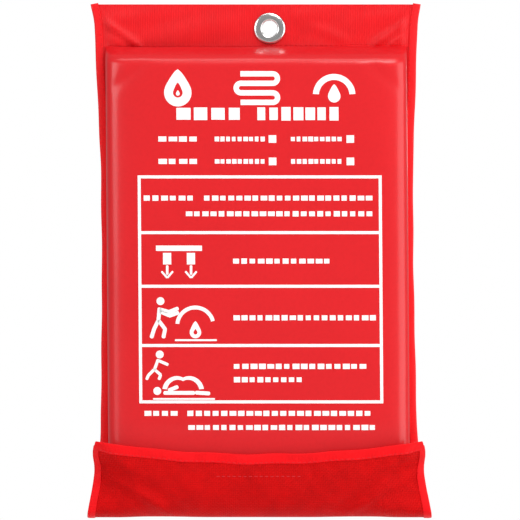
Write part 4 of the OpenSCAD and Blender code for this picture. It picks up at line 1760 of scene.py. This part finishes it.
@dataclass
class Blanket:
    """The fire blanket: one sheet folded in layers, its edge tape, and two webbing tabs."""

    maker: Maker
    cloth: float = 0.42
    layers: int = 4
    panels: int = 6
    layer_gap: float = 0.86
    front_taper: tuple[float, float] = (0.125, 0.035)

    @property
    def plan(self) -> FoldPlan:
        """The fold plan for these layers and panels."""
        return FoldPlan.read(self.layers, self.panels, self.layer_gap)

    def build(self) -> None:
        """Builds the folded sheet, its edge tape and the tabs."""
        self.sheet()
        for side, body in (("left", Body.LEFT_TAB), ("right", Body.RIGHT_TAB)):
            self.tab(side, body)

    @staticmethod
    def zigzag(run: Array, straight: float, radius: float) -> tuple[Array, Array, Array, Array]:
        """A line folded to and fro: straight runs joined by half circles.

        Args:
            run: Distance along the line.
            straight: Length of each straight run.
            radius: Radius of each half circle.

        Returns:
            The place along, the place across, and the unit normal's two parts.
        """
        span = straight + math.pi * radius
        number = np.floor(run / span)
        rest = run - number * span
        turn = np.clip((rest - straight) / radius, 0, math.pi)
        way = np.where(number % 2 == 0, 1.0, -1.0)
        along = way * (np.minimum(rest, straight) + radius * np.sin(turn)) + np.where(way < 0, straight, 0.0)
        across = number * 2 * radius + radius * (1 - np.cos(turn))
        return along, across, -way * np.sin(turn), np.cos(turn)

    def folds(self, u: Array, v: Array) -> Array:
        """Places of the sheet's points when it is folded.

        The sheet is first folded to and fro along v into layers, then that stack is folded to and fro
        along u into panels, so a point's place in the stack moves it off the second fold's middle line.

        Args:
            u: Distance across the flat sheet.
            v: Distance along the flat sheet.

        Returns:
            Points in millimetres.
        """
        plan = self.plan
        up, stack, _, _ = self.zigzag(v, plan.straight_v, plan.inner)
        stack = stack - self.layer_gap * (self.layers - 1) / 2
        over, out, nx, ny = self.zigzag(u, plan.straight_u, plan.radius)
        way = np.where(np.floor(u / plan.span_u) % 2 == 0, 1, -1)
        wobble = 0.12 * np.sin(u / 23.0 + 0.6) * np.sin(v / 41.0)
        x = plan.low[0] + plan.radius + plan.stack / 2 + over - nx * stack * way + 0.7 * np.sin(v / 150.0)
        depth = -plan.high[1] + 0.4 + out + ny * stack + plan.stack / 2 + wobble
        front = smooth((depth + plan.high[1]) / (plan.high[1] - plan.low[1]) - 0.3)
        across_taper, down_taper = self.front_taper
        x = SIZES.centre_x + (x - SIZES.centre_x) * (1 - across_taper * front)
        z = plan.low[2] + (plan.inner + 0.6 + up) * (1 - down_taper * front)
        return np.stack([x, -depth, z], axis=-1)

    def sheet(self) -> None:
        """The folded sheet, and the tape along its outer lower edge."""
        plan = self.plan
        u = self.stations(self.panels, plan.straight_u, plan.span_u, 12, 10)
        v = self.stations(self.layers, plan.straight_v, plan.span_v, 14, 8)
        gu, gv = np.meshgrid(u, v)
        folded = Patch(self.folds(gu, gv), np.stack([gu, gv], axis=-1))
        piece = self.maker.make(
            "blanket_sheet", [folded], GLASS_CLOTH, Body.BLANKET, ("blanket_pack",), self.cloth, 80,
        )
        last_u = np.linspace(u[-1] - plan.straight_u * 0.97, u[-1] - plan.straight_u * 0.03, 50)
        hem_v = np.linspace(2.0, 14.0, 6)
        hu, hv = np.meshgrid(last_u, hem_v)
        points = self.folds(hu, hv)
        points[..., 1] -= self.cloth * 0.5 + 0.14
        hem = self.maker.make(
            "blanket_edge_tape", [Patch.of(points)], HEM_TAPE, Body.BLANKET, ("blanket_hem",), 0.2,
        )
        LOG.info("blanket: %.0f by %.0f mm flat", u[-1], v[-1])

    @staticmethod
    def stations(count: int, straight: float, span: float, flat: int, bend: int) -> Array:
        """Places along a folded line, closer together in its bends.

        Args:
            count: Number of straight runs.
            straight: Length of each run.
            span: Length of a run with its bend.
            flat: Places in each run.
            bend: Places in each bend.

        Returns:
            The places.
        """
        places = []
        for i in range(count):
            places.append(i * span + np.linspace(0, straight, flat, endpoint=i == count - 1))
            if i < count - 1:
                places.append(i * span + np.linspace(straight, span, bend, endpoint=False))
        return np.concatenate(places)

    def tab(self, side: str, body: Body) -> None:
        """A webbing tab: a loop of tape that hangs from its hinge line, with a square of stitches.

        Args:
            side: left or right.
            body: The tab's body.
        """
        low, high = box_mm(f"{side}_pull_tab")
        axis = joint_mm(f"{side}_tab_swing")
        half_t = 0.62
        length = axis[2] - low[2] - half_t
        turn = np.linspace(0, math.pi, 9)
        depth = np.concatenate([np.full(14, half_t), half_t * np.cos(turn[1:-1]), np.full(14, -half_t)])
        drop = np.concatenate([
            np.linspace(0.0, length, 14), length + half_t * np.sin(turn[1:-1]), np.linspace(length, 0.0, 14),
        ])
        swell = 0.25 * np.sin(math.pi * np.clip(drop / length, 0, 1)) * np.sign(depth)
        x = np.linspace(low[0] + 0.3, high[0] - 0.3, 16)
        gx = np.broadcast_to(x[None, :], (len(drop), 16))
        y = axis[1] - (depth + swell)[:, None]
        z = axis[2] + 0.5 - drop[:, None]
        loop = np.stack(np.broadcast_arrays(gx, y, z), axis=-1)
        self.maker.make(
            f"{side}_tab_loop", [Patch.of(loop)], TAB_WEBBING, body,
            (f"{side}_pull_tab",), 0.7, 70,
        )
        middle = (low[0] + high[0]) / 2
        box = 7.0
        corners = np.array([[-box, -3.0], [box, -3.0], [box, -15.0], [-box, -15.0], [-box, -3.0]])
        edges = zip(corners[:-1], corners[1:])
        sides = np.concatenate([np.linspace(a, b, 20, endpoint=False) for a, b in edges])
        front = axis[1] - half_t - 0.55
        path = np.stack([middle + sides[:, 0], np.full(len(sides), front), axis[2] + sides[:, 1]], axis=1)
        self.maker.make(
            f"{side}_tab_thread", run_of_stitches(path, FRONT, 2.9, 2.1, 0.5), RED_THREAD, body,
            (f"{side}_tab_stitching",),
        )


# --------------------------------------------------------------------------------------------------
# Stage
# --------------------------------------------------------------------------------------------------


@dataclass(frozen=True)
class Lamp:
    """A soft rectangular light: its place and sizes in metres, and its power in watts."""

    name: str
    place: tuple[float, float, float]
    width: float
    height: float
    power: float


@dataclass
class Studio:
    """Pale floor, soft lights and the camera, in metres."""

    view_x: float = -0.0061
    view_z: float = -0.1467
    view_width: float = 0.3275
    distance: float = 4.0
    room_light: float = 0.30
    floor_wash: float = 0.45
    floor_z: float = -0.70
    floor_half: float = 2.5
    lamps: tuple[Lamp, ...] = (
        Lamp("key", (0.55, -1.25, 1.2), 0.9, 0.7, 13.8),
        Lamp("front_fill", (-1.15, -1.05, 0.35), 0.7, 0.9, 5.2),
        Lamp("left_strip", (-0.95, -0.8, -0.1), 0.4, 1.3, 1.9),
        Lamp("right_panel", (1.15, -0.55, -0.1), 1.0, 1.4, 10.0),
        Lamp("top_strip", (0.0, -0.45, 1.1), 1.2, 0.3, 3.4),
        Lamp("back_fill", (0.2, 1.6, 0.5), 1.2, 1.2, 12.0),
    )

    def camera(self) -> None:
        """A long lens straight in front, level with the middle of the pouch."""
        lens = bpy.data.cameras.new("camera")
        lens.lens = lens.sensor_width * self.distance / self.view_width
        camera = bpy.data.objects.new("camera", lens)
        camera.location = (self.view_x, -self.distance - SIZES.front_depth * MM, self.view_z)
        camera.rotation_euler = (math.pi / 2, 0.0, 0.0)
        bpy.context.scene.collection.objects.link(camera)
        bpy.context.scene.camera = camera

    def floor(self) -> None:
        """A plain painted floor well under the hanging pouch, washed evenly pale without lighting it."""
        z = self.floor_z
        half = self.floor_half
        mesh = bpy.data.meshes.new("floor")
        corners = [(-half, -half, z), (half, -half, z), (half, half, z), (-half, half, z)]
        mesh.from_pydata(corners, [], [(0, 1, 2, 3)])
        paint = bpy.data.materials.new("matt_white_paint")
        paint.use_nodes = True
        shader = paint.node_tree.nodes["Principled BSDF"]
        shader.inputs["Base Color"].default_value = linear("#F2F1EF")
        shader.inputs["Roughness"].default_value = 0.8
        tree = paint.node_tree
        seen = add(tree, "ShaderNodeLightPath").outputs["Is Camera Ray"]
        wash = add(tree, "ShaderNodeMath", {0: seen, 1: self.floor_wash}, operation="MULTIPLY").outputs[0]
        shader.inputs["Emission Color"].default_value = (1.0, 1.0, 1.0, 1.0)
        tree.links.new(wash, shader.inputs["Emission Strength"])
        mesh.materials.append(paint)
        floor = bpy.data.objects.new("floor", mesh)
        bpy.context.scene.collection.objects.link(floor)

    def light(self, lamp: Lamp) -> None:
        """Adds an area light that faces the pouch's middle.

        Args:
            lamp: The light's place, sizes and power.
        """
        data = bpy.data.lights.new(lamp.name, "AREA")
        data.shape = "RECTANGLE"
        data.size = lamp.width
        data.size_y = lamp.height
        data.energy = lamp.power
        shown = bpy.data.objects.new(lamp.name, data)
        shown.location = lamp.place
        aim = np.array([self.view_x, 0.0, self.view_z]) - np.array(lamp.place)
        shown.rotation_euler = (
            math.acos(-aim[2] / float(np.linalg.norm(aim))),
            0.0,
            math.atan2(aim[1], aim[0]) - math.pi / 2,
        )
        bpy.context.scene.collection.objects.link(shown)

    def build(self) -> None:
        """Sets the camera, floor, lights and pale surroundings."""
        self.camera()
        self.floor()
        for lamp in self.lamps:
            self.light(lamp)
        world = bpy.data.worlds.new("pale_room")
        world.use_nodes = True
        tree = world.node_tree
        tree.nodes.clear()
        seen = add(tree, "ShaderNodeLightPath").outputs["Is Camera Ray"]
        strength = add(
            tree, "ShaderNodeMapRange", {"Value": seen, "To Min": self.room_light, "To Max": 1.0},
        ).outputs["Result"]
        room = add(tree, "ShaderNodeBackground", {"Color": (1.0, 1.0, 1.0, 1.0), "Strength": strength})
        add(tree, "ShaderNodeOutputWorld", {"Surface": room.outputs[0]})
        bpy.context.scene.world = world
        bpy.context.scene.view_settings.view_transform = "Standard"


def main() -> None:
    """Builds the pieces in order."""
    logging.basicConfig(level=logging.INFO, format="%(message)s", stream=sys.stdout)
    Studio().build()
    maker = Maker({})
    Eyelet(maker).build()
    Pouch(maker).build()
    Flap(maker).build()
    Print(maker).build()
    Blanket(maker).build()


if __name__ == "__main__":
    main()
